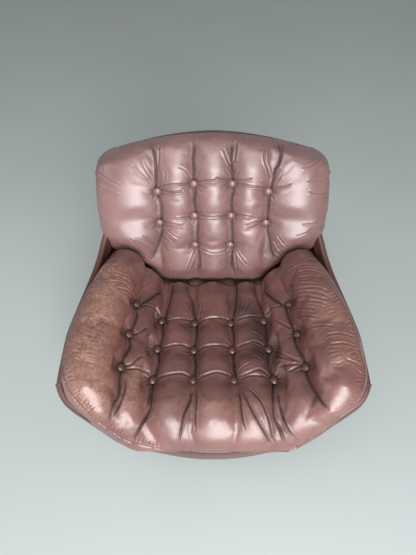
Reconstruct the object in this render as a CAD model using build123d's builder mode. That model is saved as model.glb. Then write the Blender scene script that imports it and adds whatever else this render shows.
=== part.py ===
from build123d import *
import math
import os

os.makedirs("parts", exist_ok=True)

# Lounge chair: a leather-covered tub shell with a buttoned seat-and-arms cushion and a
# buttoned back cushion, turning on a four-arm star base. Millimetres, +Z up, the sitter
# faces -Y, and the origin is on the floor, on the swivel axis.

# Overall sizes
chair_width = 860
chair_depth = 790
back_height = 800
underside_height = 200
overrun = 60
outside_margin = 150
soft_gap = 0.3

# Tub shell and its leather
shell_wall = 12
shell_floor = 12
leather = 2
corner_rounding = 60
side_rounding = 300
bow_rounding = 700

# Seat frame inside the shell: the corners of the rails are shares of half the width and
# depth, and the deck is a share of the tub's height, because the frame fits in the tub
board_thickness = 18
frame_side_share = 0.609
frame_front_share = -0.759
frame_rear_share = 0.506
deck_share = 0.145
rail_thickness = 22
strap_width = 50
strap_thickness = 2.5
strap_count = 6
clip_length = 10
clip_wall = 1.75
clip_grip = 8
clip_lip = 1

# Cushions: buttons sewn down into tufts, and the joint where the back cushion rests on the
# seat cushion
back_recline = 15.6
back_cushion_overhang = 6
button_diameter = 24
button_rim = 3
button_dome = 5
button_sink = 4
tuft_radius = 60
tuft_depth = 26
arm_button_tilt = 35
arm_row_shift = 13
outer_row_drop = 24
joint_height_share = 0.233
joint_bend_height_share = 0.470
joint_front_share = 0.378

# Swivel
plate_side = 210
plate_thickness = 5
plate_bolt_pitch = 160
bolt_diameter = 8
bolt_clearance = 0.5
bolt_head_width = 13
bolt_head_height = 5.5
tee_flange_diameter = 22
tee_flange_thickness = 1.5
tee_barrel_diameter = 11
tee_barrel_length = 10
spindle_diameter = 25
spindle_collar_diameter = 44
spindle_collar_length = 21
spindle_flange_diameter = 96
spindle_flange_thickness = 6
running_gap = 0.08
fit_gap = 0.02
bush_wall = 4
bush_length = 25
thrust_washer_thickness = 3
retaining_washer_thickness = 2.5
ring_thickness = 1.6
ring_width = 4
ring_groove_depth = 1.5
spindle_tail = 6

# Star base
hub_diameter = 66
hub_height = 105
hub_edge = 3
base_radius = 300
arm_count = 4
arm_first_angle = 45
arm_root_width = 46
arm_root_height = 68
arm_root_drop = 18
arm_middle_share = 0.5
arm_middle_width = 38
arm_middle_height = 44
arm_middle_rise_share = 0.36
arm_tip_width = 34
arm_tip_height = 30
arm_edge_rounding = 8
glide_diameter = 32
glide_height = 12
glide_stem_diameter = 10
glide_stem_length = 18
glide_edge = 2
stem_clearance = 0.1

# Screws that hold the rails, and the dust cover under them
screw_diameter = 4.5
screw_head_diameter = 9
screw_head_height = 2.7
screw_reach = 30
screw_clearance = 0.1
side_screw_pitch = 240
cross_screw_pitch = 300
dust_cover_thickness = 1
dust_cover_inset = 12
dust_cover_margin = 6

# Heights and places worked out from those sizes
half_width = chair_width / 2
half_depth = chair_depth / 2
tub_height = back_height - underside_height
floor_top = underside_height + shell_floor
board_top = floor_top + board_thickness
rail_top = underside_height + deck_share * tub_height
rail_height = rail_top - board_top
strap_top = rail_top + strap_thickness
cushion_bottom = strap_top + clip_wall + soft_gap
recline_slope = math.tan(math.radians(back_recline))
frame_side = frame_side_share * half_width
frame_front = frame_front_share * half_depth
frame_rear = frame_rear_share * half_depth
frame_length = frame_rear - frame_front
frame_middle = (frame_front + frame_rear) / 2
plate_bottom = underside_height - plate_thickness
flange_bottom = plate_bottom - spindle_flange_thickness
collar_bottom = flange_bottom - spindle_collar_length
hub_top = collar_bottom - running_gap - thrust_washer_thickness
hub_bottom = hub_top - hub_height
bush_bore = spindle_diameter + 2 * running_gap
bush_diameter = bush_bore + 2 * bush_wall
hub_bore = bush_diameter + 2 * fit_gap
washer_top = hub_bottom - running_gap
ring_top = washer_top - retaining_washer_thickness - running_gap
spindle_bottom = ring_top - ring_thickness - spindle_tail

# Plan outline of the tub at five heights. Each row gives the height, as a share of the
# tub's height, then the corners from front to rear, as shares of half the width and depth.
tub_level_shares = (0, 0.17, 0.37, 0.67, 1.02)
front_centre_shares = (-1.010, -1.010, -1.010, -1.010, -1.010)
front_corner_shares = ((0.560, -0.875), (0.600, -0.945), (0.609, -0.962), (0.609, -0.962), (0.609, -0.962))
side_front_shares = ((0.802, -0.620), (0.935, -0.714), (0.988, -0.739), (1.000, -0.759), (1.000, -0.759))
side_middle_shares = ((0.795, -0.300), (0.915, -0.300), (0.972, -0.300), (0.985, -0.300), (0.985, -0.300))
side_rear_shares = ((0.745, 0.360), (0.800, 0.410), (0.835, 0.460), (0.850, 0.540), (0.850, 0.620))
rear_corner_shares = ((0.523, 0.590), (0.609, 0.670), (0.698, 0.760), (0.740, 0.870), (0.698, 0.955))
rear_centre_shares = (0.653, 0.734, 0.825, 0.927, 1.000)

# Side view of the shell's top edge, from the apron to the wing of the back: shares of half
# the depth and of the tub's height.
rim_shares = (
    (-1.030, 0.142),
    (-0.960, 0.165),
    (-0.880, 0.270),
    (-0.740, 0.365),
    (-0.550, 0.402),
    (-0.050, 0.450),
    (0.420, 0.496),
    (0.570, 0.550),
    (0.700, 0.670),
    (0.780, 0.810),
    (0.840, 1.050),
)

# Front view of the top of the back: shares of half the width and of the tub's height.
arch_centre_share = 1.000
arch_shoulder_shares = (0.700, 0.920)
arch_bend_shares = (0.800, 0.890)
arch_corner_shares = (0.880, 0.800)


def level_height(level):
    """Height of one of the tub's outlines."""
    return underside_height + tub_level_shares[level] * tub_height


def tub_corners(level):
    """Corners of the tub's outline, from the front round the right side and back."""
    front = front_corner_shares[level]
    side_front = side_front_shares[level]
    side_middle = side_middle_shares[level]
    side_rear = side_rear_shares[level]
    rear = rear_corner_shares[level]
    right = [front, side_front, side_middle, side_rear, rear]
    left = [(-x, y) for x, y in reversed(right)]
    shares = [(0, front_centre_shares[level])] + right + [(0, rear_centre_shares[level])] + left
    return [(x * half_width, y * half_depth) for x, y in shares]


def tub_form(growth):
    """The tub as a full solid, grown outwards all round by growth."""
    side_radii = [corner_rounding, corner_rounding, side_rounding, corner_rounding, corner_rounding]
    radii = [bow_rounding] + side_radii + [bow_rounding] + side_radii[::-1]
    with BuildPart() as form:
        for level in range(len(tub_level_shares)):
            with BuildSketch(Plane.XY.offset(level_height(level))):
                with BuildLine():
                    FilletPolyline(*tub_corners(level), radius=radii, close=True)
                make_face()
                if growth:
                    offset(amount=growth)
        loft()
    return form.part


def above_rim(lift):
    """Everything above the shell's top edge, the edge raised by lift."""
    points = [(y * half_depth, underside_height + z * tub_height + lift) for y, z in rim_shares]
    top = back_height + overrun
    with BuildPart() as space:
        with BuildSketch(Plane.YZ):
            with BuildLine():
                Spline(*points)
                Polyline(points[-1], (points[-1][0], top), (points[0][0], top), points[0])
            make_face()
        extrude(amount=half_width + overrun, both=True)
    return space.part


def above_arch(lift):
    """Everything above the arched top of the back, the arch raised by lift."""
    shoulder, bend, corner = [
        (x * half_width, underside_height + z * tub_height + lift)
        for x, z in (arch_shoulder_shares, arch_bend_shares, arch_corner_shares)
    ]
    crown = (0, underside_height + arch_centre_share * tub_height + lift)
    side = half_width + overrun
    top = back_height + lift + overrun
    with BuildPart() as space:
        with BuildSketch(Plane.XZ):
            with BuildLine():
                ThreePointArc((-shoulder[0], shoulder[1]), crown, shoulder)
                ThreePointArc(shoulder, bend, corner)
                Polyline(
                    corner,
                    (side, corner[1]),
                    (side, top),
                    (-side, top),
                    (-side, corner[1]),
                    (-corner[0], corner[1]),
                )
                ThreePointArc((-corner[0], corner[1]), (-bend[0], bend[1]), (-shoulder[0], shoulder[1]))
            make_face()
        extrude(amount=half_depth + overrun, both=True)
    return space.part


# Seat-and-arms cushion: one row per section from the front lip to the back. Each row gives
# the depth share, then the rim, the crest of the arm roll and the three channels on the
# right side, as shares of half the width and of the tub's height, then the crown's share.
seat_section_shares = (
    (-1.003, (0.116, 0.203), (0.279, 0.203), (0.395, 0.197), (0.477, 0.187), (0.500, 0.160), 0.06),
    (-0.975, (0.128, 0.257), (0.353, 0.257), (0.450, 0.253), (0.515, 0.242), (0.560, 0.167), 0.08),
    (-0.886, (0.140, 0.310), (0.430, 0.317), (0.565, 0.360), (0.680, 0.385), (0.755, 0.267), 0.12),
    (-0.759, (0.140, 0.330), (0.430, 0.333), (0.615, 0.408), (0.755, 0.510), (0.900, 0.353), 0.15),
    (-0.567, (0.137, 0.310), (0.405, 0.313), (0.591, 0.400), (0.780, 0.558), (0.970, 0.400), 0.13),
    (-0.430, (0.137, 0.295), (0.400, 0.303), (0.581, 0.400), (0.791, 0.570), (0.977, 0.413), 0.20),
    (-0.294, (0.137, 0.280), (0.395, 0.292), (0.570, 0.400), (0.791, 0.575), (0.958, 0.427), 0.13),
    (-0.154, (0.137, 0.267), (0.391, 0.283), (0.558, 0.402), (0.775, 0.583), (0.930, 0.445), 0.20),
    (-0.015, (0.137, 0.252), (0.386, 0.275), (0.547, 0.400), (0.757, 0.587), (0.895, 0.455), 0.13),
    (0.228, (0.137, 0.245), (0.379, 0.267), (0.535, 0.403), (0.712, 0.575), (0.830, 0.465), 0.20),
    (0.481, (0.137, 0.242), (0.372, 0.263), (0.518, 0.385), (0.665, 0.505), (0.785, 0.440), 0.16),
    (0.700, (0.137, 0.230), (0.367, 0.253), (0.495, 0.350), (0.620, 0.440), (0.710, 0.380), 0.12),
)
seat_button_rows = (8, 6, 4)
inner_strip_crown_share = 0.10
roll_inner_crown_share = 0.16
roll_outer_crown_share = 0.14

# Back cushion: one row per section from the bottom up. Each row gives the height share, half
# the width, the depth of the channels' line, how far the side edge lies behind it, and the
# crown's share.
back_section_shares = (
    (0.225, 0.465, 0.480, 0.060, 0.08),
    (0.333, 0.560, 0.495, 0.050, 0.15),
    (0.478, 0.810, 0.544, -0.020, 0.12),
    (0.565, 0.850, 0.581, -0.020, 0.16),
    (0.650, 0.860, 0.617, 0.020, 0.13),
    (0.735, 0.860, 0.653, 0.050, 0.18),
    (0.822, 0.860, 0.690, 0.080, 0.13),
    (0.905, 0.850, 0.738, 0.095, 0.16),
    (0.975, 0.845, 0.812, 0.080, 0.10),
    (1.025, 0.845, 0.880, 0.045, 0.05),
)
back_channel_shares = (0.137, 0.400)
back_rear_shares = (0.720, 0.795, 0.840, 0.868, 0.890, 0.925, 0.950, 0.966, 0.969, 0.969)
back_side_crown_share = 0.10
back_button_rows = ((2, 1), (4, 2), (6, 2))


def tub_wall_space():
    """The space that the shell's wall takes, with the soft gap, where no cushion may be."""
    inside = tub_form(-(shell_wall + soft_gap))
    rim_space = above_rim(soft_gap)
    arch_space = above_arch(soft_gap)
    with BuildPart() as space:
        add(tub_form(outside_margin))
        add(inside, mode=Mode.SUBTRACT)
        add(rim_space, mode=Mode.SUBTRACT)
        add(arch_space, mode=Mode.SUBTRACT)
    return space.part


def back_region(lift):
    """The space behind and above the joint of the two cushions, moved away by lift."""
    joint_z = underside_height + joint_height_share * tub_height + lift
    front_y = joint_front_share * half_depth + lift
    bend_z = underside_height + joint_bend_height_share * tub_height
    bend_y = front_y + (bend_z - joint_z) * recline_slope
    top_z = back_height + overrun
    rear_y = half_depth + overrun
    corners = [
        (front_y, joint_z),
        (bend_y, bend_z),
        (bend_y, top_z),
        (rear_y, top_z),
        (rear_y, joint_z),
        (front_y, joint_z),
    ]
    with BuildPart() as space:
        with BuildSketch(Plane.YZ):
            with BuildLine():
                Polyline(*corners)
            make_face()
        extrude(amount=half_width + overrun, both=True)
    return space.part


def seat_points(row):
    """Depth of one seat section, its points from the centre out, and its crown's share."""
    depth_share, *point_shares, crown_share = seat_section_shares[row]
    points = [(x * half_width, underside_height + z * tub_height) for x, z in point_shares]
    return depth_share * half_depth, points, crown_share


def crowned_run(points, crown_shares):
    """Arcs from point to point, each crowned to the left of its way by a share of its chord."""
    for start, end, crown_share in zip(points, points[1:], crown_shares):
        SagittaArc(start, end, crown_share * math.dist(start, end))


def tuft_cutter():
    """A button's pocket and the dished tuft round it, about the origin."""
    pocket = button_diameter / 2 + soft_gap
    with BuildPart() as cutter:
        with BuildSketch(Plane.XZ):
            with BuildLine():
                Polyline(
                    (0, -button_sink),
                    (pocket, -button_sink),
                    (pocket, 0),
                    (tuft_radius, tuft_depth),
                    (0, tuft_depth),
                    (0, -button_sink),
                )
            make_face()
        revolve(axis=Axis.Z)
    return cutter.part


def button_form():
    """A leather-covered button: a short rim under a shallow dome, about the origin."""
    radius = button_diameter / 2
    bottom = soft_gap - button_sink
    rim_top = bottom + button_rim
    crown = (0, rim_top + button_dome)
    with BuildPart() as form:
        with BuildSketch(Plane.XZ):
            with BuildLine():
                Polyline(crown, (0, bottom), (radius, bottom), (radius, rim_top))
                TangentArc(crown, (radius, rim_top), tangent=(1, 0))
            make_face()
        revolve(axis=Axis.Z)
    return form.part


def seat_button_planes():
    """Where the eighteen seat and arm buttons are sewn."""
    planes = []
    tilt = math.radians(arm_button_tilt)
    for row in seat_button_rows:
        depth, points, crown_share = seat_points(row)
        inner_channel, outer_channel, arm_channel = points[:3]
        for side in (-1, 1):
            for x, z in (inner_channel, outer_channel):
                planes.append(Plane(origin=(side * x, depth, z)))
            arm_place = (side * arm_channel[0], depth + arm_row_shift, arm_channel[1])
            arm_facing = (-side * math.sin(tilt), 0, math.cos(tilt))
            planes.append(Plane(origin=arm_place, z_dir=arm_facing))
    return planes


def back_button_planes():
    """Where the ten back buttons are sewn."""
    facing = (0, -math.cos(math.radians(back_recline)), math.sin(math.radians(back_recline)))
    planes = []
    for row, pairs in back_button_rows:
        height_share, side_share, depth_share, side_draw_share, crown_share = back_section_shares[row]
        height = underside_height + height_share * tub_height
        depth = depth_share * half_depth
        drops = (0, outer_row_drop)
        for channel_share, drop in list(zip(back_channel_shares, drops))[:pairs]:
            for side in (-1, 1):
                x = side * channel_share * half_width
                place = (x, depth - drop * recline_slope, height - drop)
                planes.append(Plane(origin=place, z_dir=facing))
    return planes


# Star base: one casting, a hub with four arms that run down to the glides
arm_root_centre = hub_top - arm_root_drop - arm_root_height / 2
arm_tip_centre = glide_height + arm_tip_height / 2
arm_tip_reach = base_radius - arm_tip_width / 2
arm_middle_reach = arm_middle_share * arm_tip_reach
arm_middle_centre = arm_tip_centre + arm_middle_rise_share * (arm_root_centre - arm_tip_centre)
arm_sections = (
    (0, arm_root_centre, arm_root_width, arm_root_height),
    (arm_middle_reach, arm_middle_centre, arm_middle_width, arm_middle_height),
    (arm_tip_reach, arm_tip_centre, arm_tip_width, arm_tip_height),
)

with BuildPart() as arm:
    for reach, centre, width, height in arm_sections:
        with BuildSketch(Plane.YZ.offset(reach)):
            with Locations((0, centre)):
                RectangleRounded(width, height, arm_edge_rounding)
    loft()
    with BuildSketch(Plane.XY.offset(glide_height)):
        with Locations((arm_tip_reach, 0)):
            Circle(arm_tip_width / 2)
    extrude(amount=arm_tip_height)

with BuildPart() as star_base:
    with BuildSketch(Plane.XY.offset(hub_bottom)):
        Circle(hub_diameter / 2)
    extrude(amount=hub_height)
    chamfer(star_base.edges().filter_by(GeomType.CIRCLE), length=hub_edge)
    for index in range(arm_count):
        turn = arm_first_angle + index * 360 / arm_count
        add(arm.part.rotate(Axis.Z, turn))
    with BuildSketch(Plane.XY.offset(hub_bottom - overrun)):
        Circle(hub_bore / 2)
    extrude(amount=hub_height + 2 * overrun, mode=Mode.SUBTRACT)
    with BuildSketch(Plane.XY.offset(glide_height)):
        with PolarLocations(arm_tip_reach, arm_count, start_angle=arm_first_angle):
            Circle(glide_stem_diameter / 2 + stem_clearance)
    extrude(amount=glide_stem_length + stem_clearance, mode=Mode.SUBTRACT)
star_base.part.label = "star_base"
export_step(star_base.part, "parts/star_base.step")

# Glides: nylon feet pushed into the ends of the arms
with BuildPart() as glides:
    with BuildSketch():
        with PolarLocations(arm_tip_reach, arm_count, start_angle=arm_first_angle):
            Circle(glide_diameter / 2)
    extrude(amount=glide_height)
    chamfer(glides.edges().group_by(Axis.Z)[0], length=glide_edge)
    with BuildSketch(Plane.XY.offset(glide_height)):
        with PolarLocations(arm_tip_reach, arm_count, start_angle=arm_first_angle):
            Circle(glide_stem_diameter / 2)
    extrude(amount=glide_stem_length)
glides.part.label = "glides"
export_step(glides.part, "parts/glides.step")

# Bushes: two plastic sleeves pressed into the hub
for name, bottom in (("upper_bush", hub_top - bush_length), ("lower_bush", hub_bottom)):
    with BuildPart() as bush:
        with BuildSketch(Plane.XY.offset(bottom)):
            Circle(bush_diameter / 2)
            Circle(bush_bore / 2, mode=Mode.SUBTRACT)
        extrude(amount=bush_length)
    bush.part.label = name
    export_step(bush.part, "parts/" + name + ".step")

# Thrust washer: carries the seat on top of the hub
with BuildPart() as thrust_washer:
    with BuildSketch(Plane.XY.offset(hub_top)):
        Circle(hub_diameter / 2 - hub_edge)
        Circle(bush_bore / 2, mode=Mode.SUBTRACT)
    extrude(amount=thrust_washer_thickness)
thrust_washer.part.label = "thrust_washer"
export_step(thrust_washer.part, "parts/thrust_washer.step")

# Spindle: turned steel, with a flange welded under the seat plate
spindle_radius = spindle_diameter / 2
groove_radius = spindle_radius - ring_groove_depth
ring_bottom = ring_top - ring_thickness
with BuildPart() as spindle:
    with BuildSketch(Plane.XZ):
        with BuildLine():
            Polyline(
                (0, spindle_bottom),
                (spindle_radius - ring_groove_depth, spindle_bottom),
                (spindle_radius, spindle_bottom + ring_groove_depth),
                (spindle_radius, ring_bottom - running_gap),
                (groove_radius, ring_bottom - running_gap),
                (groove_radius, ring_top + running_gap),
                (spindle_radius, ring_top + running_gap),
                (spindle_radius, collar_bottom),
                (spindle_collar_diameter / 2, collar_bottom),
                (spindle_collar_diameter / 2, flange_bottom),
                (spindle_flange_diameter / 2, flange_bottom),
                (spindle_flange_diameter / 2, plate_bottom),
                (0, plate_bottom),
                (0, spindle_bottom),
            )
        make_face()
    revolve(axis=Axis.Z)
spindle.part.label = "spindle"
export_step(spindle.part, "parts/spindle.step")

# Washer and spring ring that keep the spindle in the hub
with BuildPart() as retaining_washer:
    with BuildSketch(Plane.XY.offset(washer_top)):
        Circle(hub_diameter / 2 - hub_edge)
        Circle(bush_bore / 2, mode=Mode.SUBTRACT)
    extrude(amount=-retaining_washer_thickness)
retaining_washer.part.label = "retaining_washer"
export_step(retaining_washer.part, "parts/retaining_washer.step")

with BuildPart() as retaining_ring:
    with BuildSketch(Plane.XY.offset(ring_top)):
        Circle(groove_radius + running_gap + ring_width)
        Circle(groove_radius + running_gap, mode=Mode.SUBTRACT)
        with Locations((groove_radius + ring_width, 0)):
            Rectangle(2 * ring_width, ring_width, mode=Mode.SUBTRACT)
    extrude(amount=-ring_thickness)
retaining_ring.part.label = "retaining_ring"
export_step(retaining_ring.part, "parts/retaining_ring.step")

# Seat plate: flat steel under the tub, with a bolt hole in each corner
with BuildPart() as seat_plate:
    with BuildSketch(Plane.XY.offset(plate_bottom)):
        RectangleRounded(plate_side, plate_side, bolt_head_width)
        with GridLocations(plate_bolt_pitch, plate_bolt_pitch, 2, 2):
            Circle(bolt_diameter / 2 + bolt_clearance, mode=Mode.SUBTRACT)
    extrude(amount=plate_thickness)
seat_plate.part.label = "seat_plate"
export_step(seat_plate.part, "parts/seat_plate.step")

# Bolts through the plate, the shell's floor and the board, into tee nuts
bolt_top = board_top + tee_flange_thickness
with BuildPart() as plate_bolts:
    with BuildSketch(Plane.XY.offset(plate_bottom - bolt_head_height)):
        with GridLocations(plate_bolt_pitch, plate_bolt_pitch, 2, 2):
            RegularPolygon(bolt_head_width / 2, 6, major_radius=False)
    extrude(amount=bolt_head_height)
    with BuildSketch(Plane.XY.offset(plate_bottom)):
        with GridLocations(plate_bolt_pitch, plate_bolt_pitch, 2, 2):
            Circle(bolt_diameter / 2)
    extrude(amount=bolt_top - plate_bottom)
plate_bolts.part.label = "plate_bolts"
export_step(plate_bolts.part, "parts/plate_bolts.step")

with BuildPart() as tee_nuts:
    with BuildSketch(Plane.XY.offset(board_top)):
        with GridLocations(plate_bolt_pitch, plate_bolt_pitch, 2, 2):
            Circle(tee_flange_diameter / 2)
    extrude(amount=tee_flange_thickness)
    with BuildSketch(Plane.XY.offset(board_top)):
        with GridLocations(plate_bolt_pitch, plate_bolt_pitch, 2, 2):
            Circle(tee_barrel_diameter / 2)
    extrude(amount=-tee_barrel_length)
    with BuildSketch(Plane.XY.offset(bolt_top)):
        with GridLocations(plate_bolt_pitch, plate_bolt_pitch, 2, 2):
            Circle(bolt_diameter / 2 + fit_gap)
    extrude(amount=-(tee_flange_thickness + tee_barrel_length), mode=Mode.SUBTRACT)
tee_nuts.part.label = "tee_nuts"
export_step(tee_nuts.part, "parts/tee_nuts.step")

# Screws up through the shell's floor and the board into the rails
rail_line = frame_side - rail_thickness / 2
screw_places = []
for side in (-1, 1):
    for end in (-1, 1):
        screw_places.append((side * rail_line, frame_middle + end * side_screw_pitch / 2))
    screw_places.append((side * cross_screw_pitch / 2, frame_front + rail_thickness / 2))
    screw_places.append((side * cross_screw_pitch / 2, frame_rear - rail_thickness / 2))


def screw_form(clearance):
    """All the rail screws, grown all round by clearance."""
    shank = screw_diameter / 2 + clearance
    head = screw_head_diameter / 2 + clearance
    with BuildPart() as form:
        with BuildSketch(Plane.XY.offset(underside_height)):
            with Locations(*screw_places):
                Circle(shank)
        extrude(amount=board_top + screw_reach + clearance - underside_height)
        for place in screw_places:
            with BuildSketch(Plane.XY.offset(underside_height)):
                with Locations(place):
                    Circle(head)
            with BuildSketch(Plane.XY.offset(underside_height + screw_head_height)):
                with Locations(place):
                    Circle(shank)
            loft()
    return form.part


screw_holes = screw_form(screw_clearance)
with BuildPart() as frame_screws:
    add(screw_form(0))
frame_screws.part.label = "frame_screws"
export_step(frame_screws.part, "parts/frame_screws.step")

# Bottom board: plywood on the floor of the shell
board_space = tub_form(-(shell_wall + soft_gap))
with BuildPart() as bottom_board:
    with BuildSketch(Plane.XY.offset(floor_top)):
        Rectangle(chair_width, chair_depth)
    extrude(amount=board_thickness)
    add(board_space, mode=Mode.INTERSECT)
    with BuildSketch(Plane.XY.offset(floor_top)):
        with GridLocations(plate_bolt_pitch, plate_bolt_pitch, 2, 2):
            Circle(bolt_diameter / 2 + bolt_clearance)
    extrude(amount=board_thickness, mode=Mode.SUBTRACT)
    with BuildSketch(Plane.XY.offset(board_top)):
        with GridLocations(plate_bolt_pitch, plate_bolt_pitch, 2, 2):
            Circle(tee_barrel_diameter / 2 + fit_gap)
    extrude(amount=-tee_barrel_length, mode=Mode.SUBTRACT)
    add(screw_holes, mode=Mode.SUBTRACT)
bottom_board.part.label = "bottom_board"
export_step(bottom_board.part, "parts/bottom_board.step")

# Rails: a softwood frame on the board, with rebates for the webbing clips
strap_pitch = (frame_length - 2 * rail_thickness) / strap_count
strap_places = [
    (0, frame_front + rail_thickness + (index + 1 / 2) * strap_pitch)
    for index in range(strap_count)
]
clip_width = strap_width + 2 * clip_lip
clip_start = frame_side - clip_length
side_rail_length = frame_length - 2 * rail_thickness

for name, side in (("left_rail", -1), ("right_rail", 1)):
    with BuildPart() as side_rail:
        with BuildSketch(Plane.XY.offset(board_top)):
            with Locations((side * rail_line, frame_middle)):
                Rectangle(rail_thickness, side_rail_length)
        extrude(amount=rail_height)
        with BuildSketch(Plane.XY.offset(rail_top)):
            for place in strap_places:
                with Locations((side * (frame_side - clip_length / 2), place[1])):
                    Rectangle(clip_length, clip_width + 2 * soft_gap)
        extrude(amount=-clip_wall, mode=Mode.SUBTRACT)
        add(screw_holes, mode=Mode.SUBTRACT)
    side_rail.part.label = name
    export_step(side_rail.part, "parts/" + name + ".step")

front_line = frame_front + rail_thickness / 2
rear_line = frame_rear - rail_thickness / 2
for name, line in (("front_rail", front_line), ("rear_rail", rear_line)):
    with BuildPart() as cross_rail:
        with BuildSketch(Plane.XY.offset(board_top)):
            with Locations((0, line)):
                Rectangle(2 * frame_side, rail_thickness)
        extrude(amount=rail_height)
        add(screw_holes, mode=Mode.SUBTRACT)
    cross_rail.part.label = name
    export_step(cross_rail.part, "parts/" + name + ".step")

# Rubber webbing across the side rails, each end in a folded steel clip
strap_half = clip_start + clip_grip
with BuildPart() as seat_webbing:
    with BuildSketch(Plane.XY.offset(rail_top)):
        with Locations(*strap_places):
            Rectangle(2 * strap_half, strap_width)
    extrude(amount=strap_thickness)
seat_webbing.part.label = "seat_webbing"
export_step(seat_webbing.part, "parts/seat_webbing.step")

with BuildPart() as webbing_clips:
    for side in (-1, 1):
        with BuildSketch(Plane.XY.offset(rail_top - clip_wall)):
            for place in strap_places:
                with Locations((side * (frame_side - clip_length / 2), place[1])):
                    Rectangle(clip_length, clip_width)
        extrude(amount=strap_thickness + 2 * clip_wall)
    with BuildSketch(Plane.XY.offset(rail_top)):
        with Locations(*strap_places):
            Rectangle(2 * strap_half, clip_width)
    extrude(amount=strap_thickness, mode=Mode.SUBTRACT)
webbing_clips.part.label = "webbing_clips"
export_step(webbing_clips.part, "parts/webbing_clips.step")

# Tub shell: a moulded wall and floor, open at the top and low at the front
tub_hollow = split(tub_form(-shell_wall), bisect_by=Plane.XY.offset(floor_top), keep=Keep.TOP)
rim_cut = above_rim(0)
arch_cut = above_arch(0)
with BuildPart() as tub_shell:
    add(tub_form(0))
    add(tub_hollow, mode=Mode.SUBTRACT)
    add(rim_cut, mode=Mode.SUBTRACT)
    add(arch_cut, mode=Mode.SUBTRACT)
    with BuildSketch(Plane.XY.offset(underside_height)):
        with GridLocations(plate_bolt_pitch, plate_bolt_pitch, 2, 2):
            Circle(bolt_diameter / 2 + bolt_clearance)
    extrude(amount=shell_floor, mode=Mode.SUBTRACT)
    add(screw_holes, mode=Mode.SUBTRACT)
tub_shell.part.label = "tub_shell"
export_step(tub_shell.part, "parts/tub_shell.step")

# Dust cover: thin cloth under the shell, open round the seat plate
dust_opening = plate_side + 2 * dust_cover_margin
with BuildPart() as dust_cover:
    with BuildSketch(Plane.XY.offset(underside_height - soft_gap)):
        with BuildLine():
            Polyline(*tub_corners(0), close=True)
        make_face()
        offset(amount=-dust_cover_inset, kind=Kind.INTERSECTION)
        Rectangle(dust_opening, dust_opening, mode=Mode.SUBTRACT)
    extrude(amount=-dust_cover_thickness)
dust_cover.part.label = "dust_cover"
export_step(dust_cover.part, "parts/dust_cover.step")

# Leather over the outside of the shell, in six panels that meet in seams at the corners
lining = tub_form(soft_gap)
with BuildPart() as leather_skin:
    add(tub_form(soft_gap + leather))
    add(lining, mode=Mode.SUBTRACT)
    add(rim_cut, mode=Mode.SUBTRACT)
    add(arch_cut, mode=Mode.SUBTRACT)
    for corner_shares, facing in ((front_corner_shares, -1), (rear_corner_shares, 1)):
        for side in (-1, 1):
            low_x = side * corner_shares[0][0] * half_width
            high_x = side * corner_shares[-1][0] * half_width
            with BuildSketch(Plane.XZ):
                with BuildLine():
                    Polyline(
                        (low_x, underside_height),
                        (high_x, back_height + overrun),
                        (high_x + soft_gap, back_height + overrun),
                        (low_x + soft_gap, underside_height),
                        (low_x, underside_height),
                    )
                make_face()
            extrude(amount=-facing * (half_depth + overrun), mode=Mode.SUBTRACT)
    low_y = side_front_shares[0][1] * half_depth
    high_y = side_front_shares[-1][1] * half_depth
    with BuildSketch(Plane.YZ):
        with BuildLine():
            Polyline(
                (low_y, underside_height),
                (high_y, back_height + overrun),
                (high_y + soft_gap, back_height + overrun),
                (low_y + soft_gap, underside_height),
                (low_y, underside_height),
            )
        make_face()
    extrude(amount=half_width + overrun, both=True, mode=Mode.SUBTRACT)

skin_panels = leather_skin.solids().sort_by(Axis.Y)
side_panels = skin_panels[3:5].sort_by(Axis.X)
corner_panels = skin_panels[1:3].sort_by(Axis.X)
named_panels = (
    ("cover_front", skin_panels[0]),
    ("cover_front_left", corner_panels[0]),
    ("cover_front_right", corner_panels[1]),
    ("cover_left", side_panels[0]),
    ("cover_right", side_panels[1]),
    ("cover_back", skin_panels[5]),
)
for name, panel in named_panels:
    with BuildPart() as cover:
        add(panel)
    cover.part.label = name
    export_step(cover.part, "parts/" + name + ".step")

# Seat-and-arms cushion: seven crowned strips with channels between them, over the rim
wall_space = tub_wall_space()
back_space = back_region(-soft_gap)
tuft = tuft_cutter()
with BuildPart() as seat_cushion:
    for row in range(len(seat_section_shares)):
        depth, points, crown_share = seat_points(row)
        rim_x, rim_z = points[-1]
        left_points = [(-x, z) for x, z in points]
        roll_crown_shares = [inner_strip_crown_share, roll_inner_crown_share, roll_outer_crown_share]
        crown_shares = [crown_share] + roll_crown_shares
        with BuildSketch(Plane.XZ.offset(-depth)):
            with BuildLine():
                crowned_run((left_points[0], points[0]), [crown_share])
                crowned_run(points, crown_shares)
                Polyline((rim_x, rim_z), (rim_x, cushion_bottom), (-rim_x, cushion_bottom), (-rim_x, rim_z))
                crowned_run(left_points[::-1], crown_shares[::-1])
            make_face()
    loft(ruled=True)
    add(wall_space, mode=Mode.SUBTRACT)
    add(back_space, mode=Mode.SUBTRACT)
    for plane in seat_button_planes():
        add(plane * tuft, mode=Mode.SUBTRACT)
seat_cushion.part.label = "seat_cushion"
export_step(seat_cushion.part, "parts/seat_cushion.step")

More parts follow.
